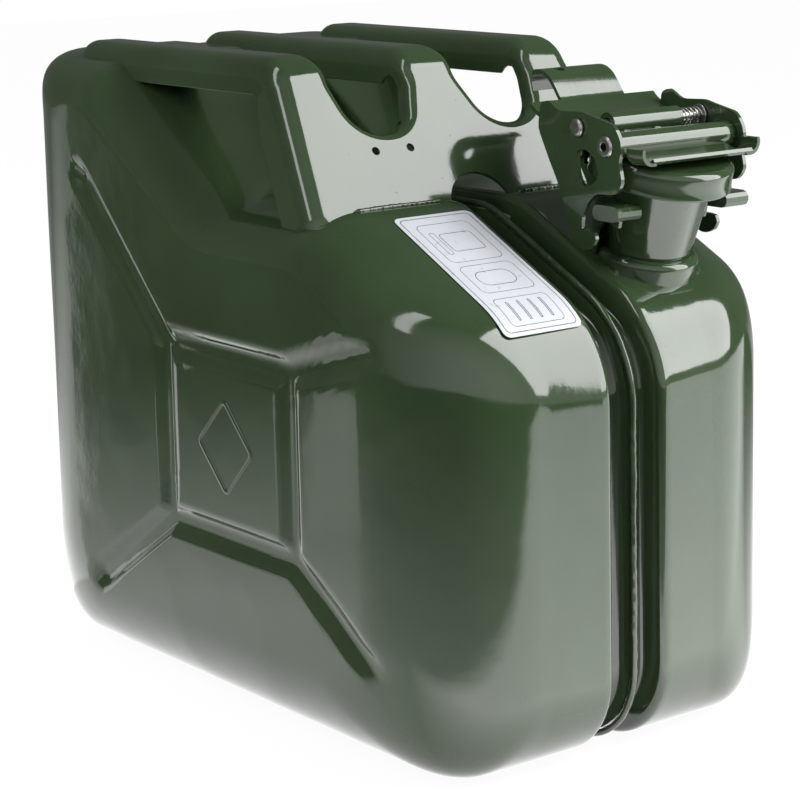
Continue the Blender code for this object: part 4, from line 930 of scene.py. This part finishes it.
@dataclass(frozen=True)
class PressedHalf:
    """One deep-drawn half of the can, from its flat face to the flange in the seam channel."""

    outline: SideOutline = SideOutline()
    grooves: PressedGrooves = PressedGrooves()
    width: float = 0.1856
    face_round: float = 0.034
    face_round_end: float = 0.051
    draft: float = 0.045
    channel_half: float = 0.012
    channel_depth: float = 0.010
    channel_wall: Point2 = (0.55, 0.0004)
    floor_inset: float = 0.001
    rim: float = 0.003
    root: float = 0.0015
    flange_top: float = 0.0045
    flange_side: float = 0.00135
    flange_foot: Point2 = (0.0012, 0.0001)
    flange_run: float = 0.0014
    seam_gap: float = 0.00015
    sheet: float = 0.0009
    face_rings: int = 48
    round_rings: int = 24
    wall_rings: int = 12
    face_centre: Point2 = (0.010, 0.112)
    press_blend: float = 0.0005
    press_rise: float = 0.00010
    press_share: float = 0.75
    sway: float = 0.0004
    sway_scale: float = 17.0
    sway_start: float = 0.058

    def channel(self) -> list[Point2]:
        """Return the section of the seam channel, from its rim to the flange.

        Returns:
            Points as (drop below the outline, distance from the seam).
        """
        half, deep, flange = self.channel_half, self.channel_depth, self.flange_side
        section = arc((self.rim, half + self.rim), self.rim, 180.0, 270.0, 5)
        section.append((deep * self.channel_wall[0], half - self.channel_wall[1]))
        section += arc((deep - self.root, half - self.floor_inset - self.root), self.root, 90.0, 0.0, 3)
        section.append((deep, flange + self.flange_run))
        section.append((deep - self.flange_foot[0], flange + self.flange_foot[1]))
        return section + [(self.flange_top, flange), (self.flange_top, self.seam_gap)]

    def rows(self) -> np.ndarray:
        """Lay out the near half.

        Returns:
            Rows of points, from the face's centre outwards and round into the channel.
        """
        seam, normal = self.outline.seam()
        face = self.outline.face()
        at_end = normal[:, 0] ** 4
        draft = (self.draft * at_end)[:, None]
        extent = self.face_round + (self.face_round_end - self.face_round) * at_end
        half = self.width / 2
        centre = np.array(self.face_centre)
        count = self.face_rings
        rows = [level_row(centre + (face - centre) * step / count, -half) for step in range(1, count)]
        for step in range(self.round_rings + 1):
            angle = math.pi / 2 * (1.0 - step / self.round_rings)
            y = half - self.face_round_end * (1.0 - math.sin(angle))
            reach = np.clip((y - half + extent) / extent, 0.0, 1.0)
            share = draft + (1.0 - draft) * (1.0 - np.sqrt(1.0 - reach ** 2))[:, None]
            rows.append(level_row(seam + (face - seam) * share, -y))
        start = half - self.face_round_end
        edge = self.channel_half + self.rim
        for step in range(1, self.wall_rings):
            share = step / self.wall_rings
            flat = seam + (face - seam) * draft * (1.0 - share)
            rows.append(level_row(flat, -(start + (edge - start) * share)))
        rows += [level_row(seam - normal * drop, -across) for drop, across in self.channel()]
        return np.array(rows)

    def pressed(self, grid: np.ndarray) -> np.ndarray:
        """Press the grooves into the grid and give the sheet its slight unevenness.

        Args:
            grid: Rows of points.

        Returns:
            The pressed rows.
        """
        x, y, z = grid[..., 0], grid[..., 1], grid[..., 2]
        half, blend = self.width / 2, self.press_blend
        gap = -(half - self.grooves.depth_at(x, z)) - y
        lift = 0.5 * (gap + np.sqrt(gap * gap + blend * blend)) - 0.5 * blend
        on_face = y < -(half - self.face_round * self.press_share)
        y = np.where(on_face, y + np.maximum(lift, -self.press_rise), y)
        sway = [noise.noise(Vector(place) * self.sway_scale) for place in grid.reshape(-1, 3)]
        y = np.where(y < -self.sway_start, y + np.abs(np.array(sway).reshape(y.shape)) * self.sway, y)
        return np.stack((x, y, z), axis=-1)

    def mesh(self, name: str, side: float) -> Piece:
        """Return one half as a single skin.

        Args:
            name: The piece's name.
            side: -1 for the near half, 1 for the far half.

        Returns:
            The new piece.
        """
        grid = self.pressed(self.rows())
        grid[..., 1] *= -side
        count, columns = grid.shape[:2]
        points = grid.reshape(-1, 3).tolist()
        points.append((self.face_centre[0], side * self.width / 2, self.face_centre[1]))
        faces = [(len(points) - 1, index, (index + 1) % columns) for index in range(columns)]
        return from_points(name, points, [], faces + ring_faces(count, columns))


@dataclass(frozen=True)
class CanShell:
    """Both halves, the weld bead in the channel and the raised diamonds."""

    half: PressedHalf = PressedHalf()
    neck_base: Vector = Vector((0.1185, 0.040, 0.186473))
    neck_tilt: float = math.radians(14.0)
    neck_opening: float = 0.0168
    diamond: float = 0.019
    diamond_corner: float = 0.0022
    ridge: float = 0.0011
    ridge_share: float = 0.62
    ridge_drop: float = 0.0001
    bead_drop: float = 0.0028
    bead_radius: float = 0.0014
    bead_step: float = 0.0004

    def build(self, paint: Material, weld: Material) -> None:
        """Make the shell's pieces.

        Args:
            paint: The can's paint.
            weld: The paint over the weld.
        """
        for node, side in (("near_shell", -1.0), ("far_shell", 1.0)):
            piece = self.half.mesh(node + "_pressing", side)
            if side > 0.0:
                self.open_for_neck(piece)
            face_out(piece)
            modify(piece, "SOLIDIFY", thickness=self.half.sheet, offset=-1.0)
            smooth(piece, 50.0)
            dress(piece, Body.CAN, [node], paint)
            self.raised_diamond(side, paint)
        self.bead(weld)

    def open_for_neck(self, piece: Piece) -> None:
        """Take away the faces under the neck, whose ragged edge the collar covers.

        Args:
            piece: The far half.
        """
        axis = Vector((math.sin(self.neck_tilt), 0.0, math.cos(self.neck_tilt)))
        work = bmesh.new()
        work.from_mesh(piece.data)
        inside = []
        for face in work.faces:
            offset = face.calc_center_median() - self.neck_base
            height = offset.dot(axis)
            if abs(height) < self.neck_opening and (offset - axis * height).length < self.neck_opening:
                inside.append(face)
        bmesh.ops.delete(work, geom=inside, context="FACES")
        work.to_mesh(piece.data)
        work.free()

    def raised_diamond(self, side: float, paint: Material) -> None:
        """Raise a plain pressed diamond in the frame of one side.

        Args:
            side: -1 for the near side, 1 for the far side.
            paint: The can's paint.
        """
        name = "diamond_near" if side < 0.0 else "diamond_far"
        bpy.ops.mesh.primitive_circle_add(vertices=4, radius=self.diamond)
        outline = bpy.context.object
        with editing(outline):
            bpy.ops.mesh.bevel(affect="VERTICES", offset=self.diamond_corner, segments=4)
        places = [vertex.co.copy() for vertex in outline.data.vertices]
        places.sort(key=lambda place: math.atan2(place.y, place.x))
        bpy.data.objects.remove(outline, do_unlink=True)
        curve = bpy.data.curves.new(name, "CURVE")
        curve.dimensions = "3D"
        curve.bevel_depth = self.ridge
        curve.bevel_resolution = 4
        spline = curve.splines.new("POLY")
        spline.points.add(len(places) - 1)
        middle_x, middle_z = self.half.grooves.centre
        y = side * (self.half.width / 2 - self.ridge_drop)
        for point, place in zip(spline.points, places):
            point.co = (middle_x + place.x, y, middle_z + place.y, 1.0)
        spline.use_cyclic_u = True
        ridge = linked(name + "_ridge", curve)
        activate(ridge)
        bpy.ops.object.convert(target="MESH")
        for vertex in ridge.data.vertices:
            vertex.co.y = y + (vertex.co.y - y) * self.ridge_share
        smooth(ridge, 60.0)
        dress(ridge, Body.CAN, [], paint)

    def bead(self, weld: Material) -> None:
        """Run the uneven weld bead round the seam.

        Args:
            weld: The paint over the weld.
        """
        seam, normal = self.half.outline.seam()
        keep = np.concatenate(([True], np.linalg.norm(np.diff(seam, axis=0), axis=1) > self.bead_step))
        places = [Vector((x, 0.0, z)) for x, z in seam[keep]]
        outs = [Vector((x, 0.0, z)) for x, z in normal[keep]]
        middles = [place - out * self.bead_drop for place, out in zip(places, outs)]
        piece = WeldBead(self.bead_radius, True).build("seam_bead", middles, outs)
        dress(piece, Body.CAN, ["seam_weld"], weld)


# The carry handle


@dataclass(frozen=True)
class PressedHandle:
    """Three bars bent into one slanted plate, with rounded edges turned down all round."""

    top: float = 0.2665
    rear_x: float = -0.120
    corner_x: float = 0.02847
    deck: float = 0.209
    tilt: float = math.radians(33.0)
    bend: float = 0.018
    spacing: float = 0.06199
    bar_half: float = 0.013
    end_radius: float = 0.0095
    side_radius: float = 0.030
    edge: float = 0.0085
    depth: float = 0.0145
    leg_depth: float = 0.019
    leg_growth: float = 0.015
    leg_steps: int = 6
    foot_half: float = 0.084
    foot_reach: float = 0.010
    sheet: float = 0.0015
    rim_round: float = 0.0003
    scallop_radius: float = 0.015
    scallop_y: float = 0.032495
    scallop_drop: float = 0.030
    scallop_flare: float = math.radians(17.0)
    scallop_edge: float = 0.0050
    scallop_depth: float = 0.0075
    arch: Point2 = (0.0145, 0.011)
    hole_radius: float = 0.0018
    hole_places: Point2 = (-0.0409, -0.0241)
    hole_rise: float = 0.0205
    bend_steps: int = 18
    edge_steps: int = 9
    corner_steps: int = 12
    foot_welds: tuple[tuple[str, float, float], ...] = (
        ("foot_weld_near", -0.062, -0.019), ("foot_weld_far", 0.019, 0.056),
    )
    weld_radius: float = 0.0011
    weld_offset: Point2 = (0.0004, 0.0002)
    weld_steps: int = 60

    def turn(self) -> float:
        """Return the angle of the bend."""
        return math.pi / 2 - self.tilt

    def bend_length(self) -> float:
        """Return the length of the sheet in the bend."""
        return self.bend * self.turn()

    def plate_out(self) -> Vector:
        """Return the plate's outward direction."""
        return Vector((math.cos(self.tilt), 0.0, math.sin(self.tilt)))

    def placed(self, across: float, along: float, depth: float) -> Vector:
        """Return the place in the can of a point on the unrolled sheet.

        Args:
            across: Place across the can.
            along: Length from the start of the bend, growing down the plate.
            depth: Depth below the outer face.

        Returns:
            The place.
        """
        angle = min(max(along / self.bend, 0.0), self.turn())
        outward = Vector((math.sin(angle), 0.0, math.cos(angle)))
        onward = Vector((math.cos(angle), 0.0, -math.sin(angle)))
        start = self.corner_x - self.bend * math.tan(self.turn() / 2)
        centre = Vector((start, across, self.top - self.bend))
        return centre + outward * (self.bend - depth) + onward * (along - angle * self.bend)

    def slope_at(self, drop: float) -> float:
        """Return the length along the sheet at a drop below the top, on the plate."""
        return self.bend * (self.turn() - math.tan(self.turn() / 2)) + drop / math.cos(self.tilt)

    def corners(self) -> list[tuple[float, float, float]]:
        """Return the corners of the unrolled outline.

        Returns:
            Corners as (across, along, radius), anticlockwise.
        """
        rear = self.rear_x - self.corner_x + self.bend * math.tan(self.turn() / 2)
        foot = self.slope_at(self.top - self.deck) + self.foot_reach
        scallop = self.slope_at(self.scallop_drop)
        low = self.scallop_radius * math.tan((math.pi / 2 - self.scallop_flare) / 2) + 0.0003
        flare = scallop - (self.spacing / 2 - self.bar_half - low) / math.tan(self.scallop_flare)
        inner, outer = self.spacing - self.bar_half, self.spacing + self.bar_half
        end, dip = self.end_radius, self.scallop_radius
        half = [
            (self.bar_half, rear, end), (self.bar_half, flare, dip), (self.scallop_y - low, scallop, dip),
            (self.scallop_y + low, scallop, dip), (inner, flare, dip), (inner, rear, end), (outer, rear, end),
            (outer, self.bend_length(), self.side_radius), (self.foot_half, foot, end),
        ]
        return half + [(-across, along, radius) for across, along, radius in reversed(half)]

    def outline(self) -> list[tuple[Vector, Vector]]:
        """Round the unrolled outline and cut it where the steps of the bend lie.

        Returns:
            Points with their outward normals.
        """
        bend_end = self.bend_length()
        stations = [bend_end * step / self.bend_steps for step in range(self.bend_steps + 1)]
        for step in range(1, self.leg_steps + 1):
            stations.append(bend_end + self.leg_growth * step / self.leg_steps)
        rounded = fillet(self.corners(), self.corner_steps)
        result = []
        for index, (point, normal) in enumerate(rounded):
            after, next_normal = rounded[(index + 1) % len(rounded)]
            result.append((point, normal))
            low, high = min(point.y, after.y) + 0.0001, max(point.y, after.y) - 0.0001
            cuts = [station for station in stations if low < station < high]
            for share in sorted((cut - point.y) / (after.y - point.y) for cut in cuts):
                result.append((point.lerp(after, share), normal.lerp(next_normal, share).normalized()))
        return result

    def edge_form(self, point: Vector) -> Point2:
        """Return the form of the turned-down edge at a point of the outline.

        Args:
            point: A point of the unrolled outline.

        Returns:
            The edge's radius and its depth.
        """
        if abs(point.x) > self.spacing:
            grown = eased((point.y - self.bend_length()) / self.leg_growth)
            return self.edge, self.depth + (self.leg_depth - self.depth) * grown
        bent = eased(point.y / self.bend_length())
        radius = self.edge + (self.scallop_edge - self.edge) * bent
        return radius, self.depth + (self.scallop_depth - self.depth) * bent

    def ring(self, border: list[tuple[Vector, Vector]], angle: float, sheet: float,
             beyond: float | None = None) -> list[Vector]:
        """Return one ring of the turned-down edge.

        Args:
            border: The unrolled outline.
            angle: How far the edge has turned, from 0 on the flat to a quarter turn.
            sheet: Depth in the sheet's thickness, 0 on the outer face.
            beyond: On the rim, how far the ring lies below the edge's depth.

        Returns:
            Points as (across, along, depth).
        """
        row = []
        for point, normal in border:
            radius, depth = self.edge_form(point)
            inner = radius - sheet
            moved = point - normal * (sheet + inner * (1.0 - math.sin(angle)))
            level = sheet + inner * (1.0 - math.cos(angle)) if beyond is None else depth + beyond
            row.append(Vector((moved.x, moved.y, level)))
        return row

    def rings(self) -> list[list[Vector]]:
        """Return the unrolled rings from the outer face over the rim to the inner face.

        Returns:
            Rings of points as (across, along, depth).
        """
        border = self.outline()
        quarter, bevel = math.pi / 2, self.rim_round
        angles = [quarter * step / self.edge_steps for step in range(self.edge_steps + 1)]
        rows = [self.ring(border, angle, 0.0) for angle in angles]
        for sheet, beyond in ((0.0, 0.0), (bevel, bevel), (self.sheet - bevel, bevel), (self.sheet, 0.0)):
            rows.append(self.ring(border, quarter, sheet, beyond))
        return rows + [self.ring(border, angle, self.sheet) for angle in reversed(angles)]

    def mesh(self) -> Piece:
        """Return the bent pressing.

        Returns:
            The new piece.
        """
        rows = self.rings()
        count = len(rows[0])
        last = (len(rows) - 1) * count
        faces = [tuple(range(count)), tuple(reversed(range(last, last + count)))]
        points = [place for row in rows for place in row]
        piece = from_points("bar_handle", points, [], faces + ring_faces(len(rows), count))
        work = bmesh.new()
        work.from_mesh(piece.data)
        bmesh.ops.triangulate(work, faces=[face for face in work.faces if len(face.verts) > 4])
        for step in range(self.bend_steps + 1):
            geometry = list(work.verts) + list(work.edges) + list(work.faces)
            station = (0.0, self.bend_length() * step / self.bend_steps, 0.0)
            bmesh.ops.bisect_plane(work, geom=geometry, dist=0.000002, plane_co=station,
                                   plane_no=(0.0, 1.0, 0.0))
        for vertex in work.verts:
            vertex.co = self.placed(*vertex.co)
        work.to_mesh(piece.data)
        work.free()
        face_out(piece)
        return piece

    def plate_frame(self) -> Matrix:
        """Return the plate's frame.

        Returns:
            Across, up the slope and outward, from the bend's corner.
        """
        up = Vector((-math.sin(self.tilt), 0.0, math.cos(self.tilt)))
        matrix = Matrix((Vector((0.0, 1.0, 0.0)), up, self.plate_out())).transposed().to_4x4()
        matrix.translation = Vector((self.corner_x, 0.0, self.top))
        return matrix

    def pierce(self, piece: Piece) -> None:
        """Cut the arch at the plate's foot and its two small holes.

        Args:
            piece: The bent pressing.
        """
        foot = -(self.top - self.deck) / math.cos(self.tilt)
        half, rise = self.arch
        radius = (half * half + rise * rise) / (2 * rise)
        cutters = [(radius, Vector((0.0, foot + rise - radius, 0.0)), 96)]
        height = foot + self.hole_rise / math.cos(self.tilt)
        cutters += [(self.hole_radius, Vector((across, height, 0.0)), 32) for across in self.hole_places]
        for size, centre, steps in cutters:
            bpy.ops.mesh.primitive_cylinder_add(vertices=steps, radius=size, depth=self.sheet * 5)
            cutter = bpy.context.object
            cutter.matrix_world = self.plate_frame() @ Matrix.Translation(centre)
            modify(piece, "BOOLEAN", operation="DIFFERENCE", solver="EXACT", object=cutter)
            bpy.data.objects.remove(cutter, do_unlink=True)

    def build(self, paint: Material, weld: Material) -> None:
        """Make the handle and the welds at its foot.

        Args:
            paint: The can's paint.
            weld: The paint over the welds.
        """
        piece = self.mesh()
        self.pierce(piece)
        smooth(piece, 35.0)
        modify(piece, "WEIGHTED_NORMAL", keep_sharp=True, weight=80)
        dress(piece, Body.CAN, ["carry_handle"], paint)
        x = self.corner_x + (self.top - self.deck) * math.tan(self.tilt) + self.weld_offset[0]
        z = self.deck + self.weld_offset[1]
        outs = [self.plate_out()] * (self.weld_steps + 1)
        for name, start, end in self.foot_welds:
            shares = [step / self.weld_steps for step in range(self.weld_steps + 1)]
            places = [Vector((x, start + (end - start) * share, z)) for share in shares]
            dress(WeldBead(self.weld_radius, False).build(name, places, outs), Body.CAN, [], weld)


# The spout and its closure


@dataclass(frozen=True)
class Spout:
    """The turned pieces on the neck's axis: the neck, the lid and the collar."""

    base: Vector = Vector((0.1185, 0.040, 0.18648))
    tilt: float = math.radians(14.0)
    foot_radius: float = 0.0164
    top_radius: float = 0.0214
    length: float = 0.033
    tail: float = 0.0060
    sheet: float = 0.0015
    lip_radius: float = 0.0238
    lip_top: float = 0.0392
    lip_roll: float = 0.0009
    lid_radius: float = 0.0281
    lid_top: float = 0.0434
    lid_sheet: float = 0.0012
    lid_round: float = 0.0031
    skirt_low: float = 0.0326
    hem: float = 0.0006
    collar_width: float = 0.0032
    collar_top: float = 0.0042
    collar_gap: float = 0.0003

    def placing(self) -> Matrix:
        """Return the neck's frame."""
        return Matrix.Translation(self.base) @ Matrix.Rotation(self.tilt, 4, "Y")

    def neck(self) -> Piece:
        """Return the tapered neck with its flared and rolled mouth.

        Returns:
            The new piece.
        """
        foot, top, lip, roll = self.foot_radius, self.top_radius, self.lip_radius, self.lip_roll
        bore = foot - self.sheet
        profile = [
            (foot, -self.tail), (foot, 0.002), (foot + 0.0003, 0.0042), (top - 0.0004, self.length - 0.0018),
            (top + 0.0003, self.length), (lip - 0.0008, self.lip_top - 0.0024),
        ]
        profile += arc((lip - roll, self.lip_top - roll), roll, -35.0, 90.0, 8)
        profile += arc((lip - roll - self.sheet, self.lip_top - roll), roll, 90.0, 160.0, 5)
        profile += [(top - self.sheet, self.length), (bore, 0.004), (bore, -self.tail)]
        return spun("spout_neck", profile, self.placing())

    def collar(self) -> Piece:
        """Return the collar that flares from the neck's foot into the shoulder.

        Returns:
            The new piece.
        """
        inner, top, width = self.foot_radius + self.collar_gap, self.collar_top, self.collar_width
        crest = inner + 0.0006
        profile = [(inner, top - 0.0002), (inner + 0.0003, top)]
        profile += arc((crest, top - width), width, 88.0, 0.0, 12)
        profile += [(crest + width, -self.tail * 2.2), (inner, -self.tail * 2.2)]
        return spun("neck_collar", profile, self.placing())

    def lid(self) -> Piece:
        """Return the pressed lid with its rounded edge and its skirt.

        Returns:
            The new piece.
        """
        radius, top, low = self.lid_radius, self.lid_top, self.skirt_low
        inside = top - self.lid_sheet
        profile = [(0.0, top), (radius - 0.0060, top)]
        profile += arc((radius - 0.0032, top - self.lid_round), self.lid_round, 92.0, 6.0, 12)
        profile += [(radius - 0.00025, top - 0.0050), (radius - 0.00035, top - 0.0075)]
        profile.append((radius - 0.0002, low + 0.0012))
        profile += arc((radius - self.hem, low + self.hem), self.hem, 20.0, -180.0, 10)
        profile += [(radius - self.lid_sheet, top - 0.0040), (radius - 0.0030, inside), (0.0, inside)]
        return spun("pressed_lid", profile, self.placing())

    def build(self, paint: Material, worn: Material) -> None:
        """Make the turned pieces.

        Args:
            paint: The can's paint.
            worn: The paint of the neck.
        """
        dress(self.neck(), Body.CAN, ["filler_neck"], worn)
        dress(self.lid(), Body.CAP, ["cap_lid"], paint)
        dress(self.collar(), Body.CAN, ["neck_base_ring"], paint)


@dataclass(frozen=True)
class Closure:
    """The lever closure: finished copies of its solids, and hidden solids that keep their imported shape."""

    sheet_edge: float = 0.0004
    lever_edge: float = 0.0005
    pin_edge: float = 0.0003
    pins: tuple[tuple[str, Body], ...] = (
        ("lever_pivot", Body.CAP), ("lock_pin", Body.LOCK), ("pin_clip", Body.LOCK),
        ("cap_hinge_pin", Body.CAN),
    )
    hidden: tuple[str, ...] = (
        "lid_rivet_near", "lid_rivet_far", "gasket_plate", "breather_tube", "breather_clip",
    )
    sleeve_end: float = 0.0585
    travel: float = 0.005
    clearance: float = 0.0002

    def spring(self, steel: Material) -> None:
        """Round the pin's return spring and give it a mesh of its own.

        Args:
            steel: The wire's finish.
        """
        piece = refined("pin_spring", 0.0)
        modify(piece, "SUBSURF", levels=1, render_levels=1)
        smooth(piece, 80.0)
        dress(piece, Body.LEVER, ["pin_spring"], steel)
        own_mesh(piece)

    def build(self, paint: Material, worn: Material, steel: Material, rubber: Material) -> None:
        """Finish the closure's pieces.

        Args:
            paint: The can's paint.
            worn: The lever's paint.
            steel: The finish of pins, rivets and wire.
            rubber: The gasket's finish.
        """
        dress(refined("latch_yoke", self.sheet_edge), Body.CAN, ["latch_yoke"], paint)
        dress(refined("clamp_plate", self.sheet_edge), Body.CAP, ["clamp_plate"], paint)
        dress(refined("lever", self.lever_edge), Body.LEVER, ["lever"], worn)
        for node, body in self.pins:
            dress(refined(node, self.pin_edge), body, [node], steel)
        self.spring(steel)
        for node in self.hidden:
            coat(node, steel)
        coat("cap_gasket", rubber)


# The label


@dataclass(frozen=True)
class Label:
    """The thin white label on the near shoulder."""

    deck_front: Point2 = (0.0719, 0.209)
    middle_y: float = -0.0345
    slope: float = math.radians(25.8)
    shoulder_run: float = 0.0856
    bend_radius: float = 0.046
    top_gap: float = 0.006
    lift: float = 0.0003
    length: float = 0.077
    width: float = 0.037
    corner: float = 0.003
    thick: float = 0.0002
    bend_cuts: int = 24

    def placed(self, run: float, across: float) -> Vector:
        """Return the place on the shoulder of a point of the flat label.

        Args:
            run: Distance down the shoulder from the deck's front.
            across: Distance from the label's middle line.

        Returns:
            The point just above the sheet.
        """
        tangent = self.bend_radius * math.tan((math.pi / 2 - self.slope) / 2)
        straight = self.shoulder_run / math.cos(self.slope) - tangent
        lean = self.slope + max(run - straight, 0.0) / self.bend_radius
        level = min(run, straight)
        swing = Vector((math.sin(lean) - math.sin(self.slope), 0.0, math.cos(lean) - math.cos(self.slope)))
        place = Vector((self.deck_front[0], self.middle_y + across, self.deck_front[1]))
        place += Vector((math.cos(self.slope), 0.0, -math.sin(self.slope))) * level + swing * self.bend_radius
        return place + Vector((math.sin(lean), 0.0, math.cos(lean))) * self.lift

    def build(self, finish: Material) -> None:
        """Cut the film with round corners, lay it down the shoulder and keep its flat map in metres.

        Args:
            finish: The label's material.
        """
        deselect_all()
        bpy.ops.mesh.primitive_plane_add(size=1.0)
        piece = bpy.context.object
        piece.name = "label_film"
        piece.scale = (self.length, self.width, 1.0)
        settle(piece)
        with editing(piece):
            bpy.ops.mesh.bevel(offset=self.corner, segments=6, affect="VERTICES")
            for cut in range(1, self.bend_cuts):
                bpy.ops.mesh.select_all(action="SELECT")
                station = self.length * (cut / self.bend_cuts - 0.5)
                bpy.ops.mesh.bisect(plane_co=(station, 0.0, 0.0), plane_no=(1.0, 0.0, 0.0))
        mesh = piece.data
        while mesh.uv_layers:
            mesh.uv_layers.remove(mesh.uv_layers[0])
        flat = mesh.uv_layers.new(name="flat")
        for loop in mesh.loops:
            flat.data[loop.index].uv = mesh.vertices[loop.vertex_index].co.xy
        start = self.top_gap / math.cos(self.slope) + self.length / 2
        for vertex in mesh.vertices:
            vertex.co = self.placed(start + vertex.co.x, vertex.co.y)
        modify(piece, "SOLIDIFY", thickness=self.thick, offset=1.0)
        smooth(piece, 30.0)
        dress(piece, Body.CAN, ["label_sticker"], finish)


# Camera and light


@dataclass(frozen=True)
class Softbox:
    """One rectangular studio lamp."""

    name: str
    place: Vector
    size: Point2
    radiance: float
    aim: Vector = Vector((0.0, 0.0, 0.13))
    mirrored: bool = True
    lighting: bool = True

    def build(self) -> None:
        """Hang the lamp and turn it to its aim."""
        lamp = bpy.data.lights.new(self.name, "AREA")
        lamp.shape = "RECTANGLE"
        lamp.size, lamp.size_y = self.size
        lamp.energy = self.radiance * math.pi * self.size[0] * self.size[1]
        item = linked(self.name, lamp)
        item.location = self.place
        item.rotation_euler = (self.aim - self.place).to_track_quat("-Z", "Y").to_euler()
        item.visible_camera = False
        item.visible_glossy = self.mirrored
        item.visible_diffuse = self.lighting


@dataclass(frozen=True)
class Studio:
    """Camera, lamps, world and floor."""

    azimuth: float = math.radians(51.9502)
    elevation: float = math.radians(10.2013)
    roll: float = math.radians(1.0648)
    eye: Vector = Vector((0.8343, -0.6127, 0.3430))
    lens: float = 112.76
    sensor: float = 36.0
    shift: Point2 = (-0.0752, -0.1208)
    clip_start: float = 0.01
    floor_size: float = 8.0
    floor_drop: float = 0.0002
    ambient: float = 0.45
    mirror_dim: float = 0.10
    mirror_range: Point2 = (0.05, 0.85)
    mirror_side: tuple[float, float, float] = (0.85, -0.40, -0.20)
    lamps: tuple[Softbox, ...] = (
        Softbox("softbox_back", Vector((0.86, 0.80, 0.80)), (0.80, 1.30), 6.9),
        Softbox("table_lamp", Vector((0.75, 0.45, 0.90)), (0.5, 0.5), 12.0,
                aim=Vector((0.55, 0.32, 0.0)), mirrored=False),
        Softbox("fill_left", Vector((-0.55, -1.30, 0.85)), (1.0, 0.9), 1.6, mirrored=False),
        Softbox("table_lamp_left", Vector((-0.25, -0.85, 0.75)), (0.6, 0.6), 4.0,
                aim=Vector((-0.30, -0.55, 0.0)), mirrored=False),
        Softbox("strip_above", Vector((0.16, -0.72, 1.55)), (0.28, 1.50), 4.5, lighting=False),
    )

    def camera(self) -> None:
        """Set the camera as the photograph has it."""
        back = Vector((
            math.sin(self.azimuth) * math.cos(self.elevation),
            -math.cos(self.azimuth) * math.cos(self.elevation),
            math.sin(self.elevation),
        ))
        right = Vector((math.cos(self.azimuth), math.sin(self.azimuth), 0.0))
        up = back.cross(right)
        turned_right = right * math.cos(self.roll) - up * math.sin(self.roll)
        turned_up = right * math.sin(self.roll) + up * math.cos(self.roll)
        lens = bpy.data.cameras.new("camera")
        lens.lens = self.lens
        lens.sensor_width = self.sensor
        lens.shift_x, lens.shift_y = self.shift
        lens.clip_start = self.clip_start
        item = linked("camera", lens)
        turn = Matrix((turned_right, turned_up, back)).transposed().to_4x4()
        item.matrix_world = Matrix.Translation(self.eye) @ turn
        bpy.context.scene.camera = item

    def floor(self) -> None:
        """Lay the white floor."""
        bpy.ops.mesh.primitive_plane_add(size=self.floor_size, location=(0.0, 0.0, -self.floor_drop))
        item = bpy.context.object
        item.name = "floor"
        item.data.materials.append(Backdrop().build())

    def world(self) -> None:
        """Light the scene softly from all round, white to the camera and darker to the left for mirrors."""
        world = bpy.data.worlds.new("studio")
        bpy.context.scene.world = world
        graph = Graph(world)
        path = graph.add("ShaderNodeLightPath").outputs
        direction = graph.add("ShaderNodeTexCoord").outputs["Generated"]
        side = graph.vector("DOT_PRODUCT", direction, self.mirror_side).outputs["Value"]
        mirror = graph.ramp(side, *self.mirror_range, self.mirror_dim, 1.0)
        glossy = graph.product(path["Is Glossy Ray"], mirror)
        soft = graph.product(graph.math("SUBTRACT", 1.0, path["Is Glossy Ray"]), self.ambient)
        seen = graph.math("MAXIMUM", path["Is Camera Ray"], path["Is Transmission Ray"])
        level = graph.math("MAXIMUM", graph.math("ADD", glossy, soft), seen)
        background = graph.tree.nodes["Background"]
        graph.feed(background.inputs["Color"], rgba(WHITE))
        graph.feed(background.inputs["Strength"], level)

    def build(self) -> None:
        """Set up the whole studio."""
        self.camera()
        self.floor()
        self.world()
        for lamp in self.lamps:
            lamp.build()
        bpy.context.scene.view_settings.view_transform = "Standard"


def main() -> None:
    """Build the can's looks around the frame."""
    logging.basicConfig(level=logging.INFO, format="%(name)s: %(message)s")
    paint = GlossPaint("green_enamel").build()
    weld = GlossPaint("welded_seam_enamel", roughness=0.16, peel=0.00005, soot=0.55).build()
    worn = GlossPaint("worn_enamel", wear=0.02).build()
    steel = PlainSteel("bright_steel").build()
    CanShell().build(paint, weld)
    PressedHandle().build(paint, weld)
    Label().build(Sticker().build())
    Spout().build(paint, worn)
    Closure().build(paint, worn, steel, BlackRubber().build())
    Studio().build()


if __name__ == "__main__":
    main()
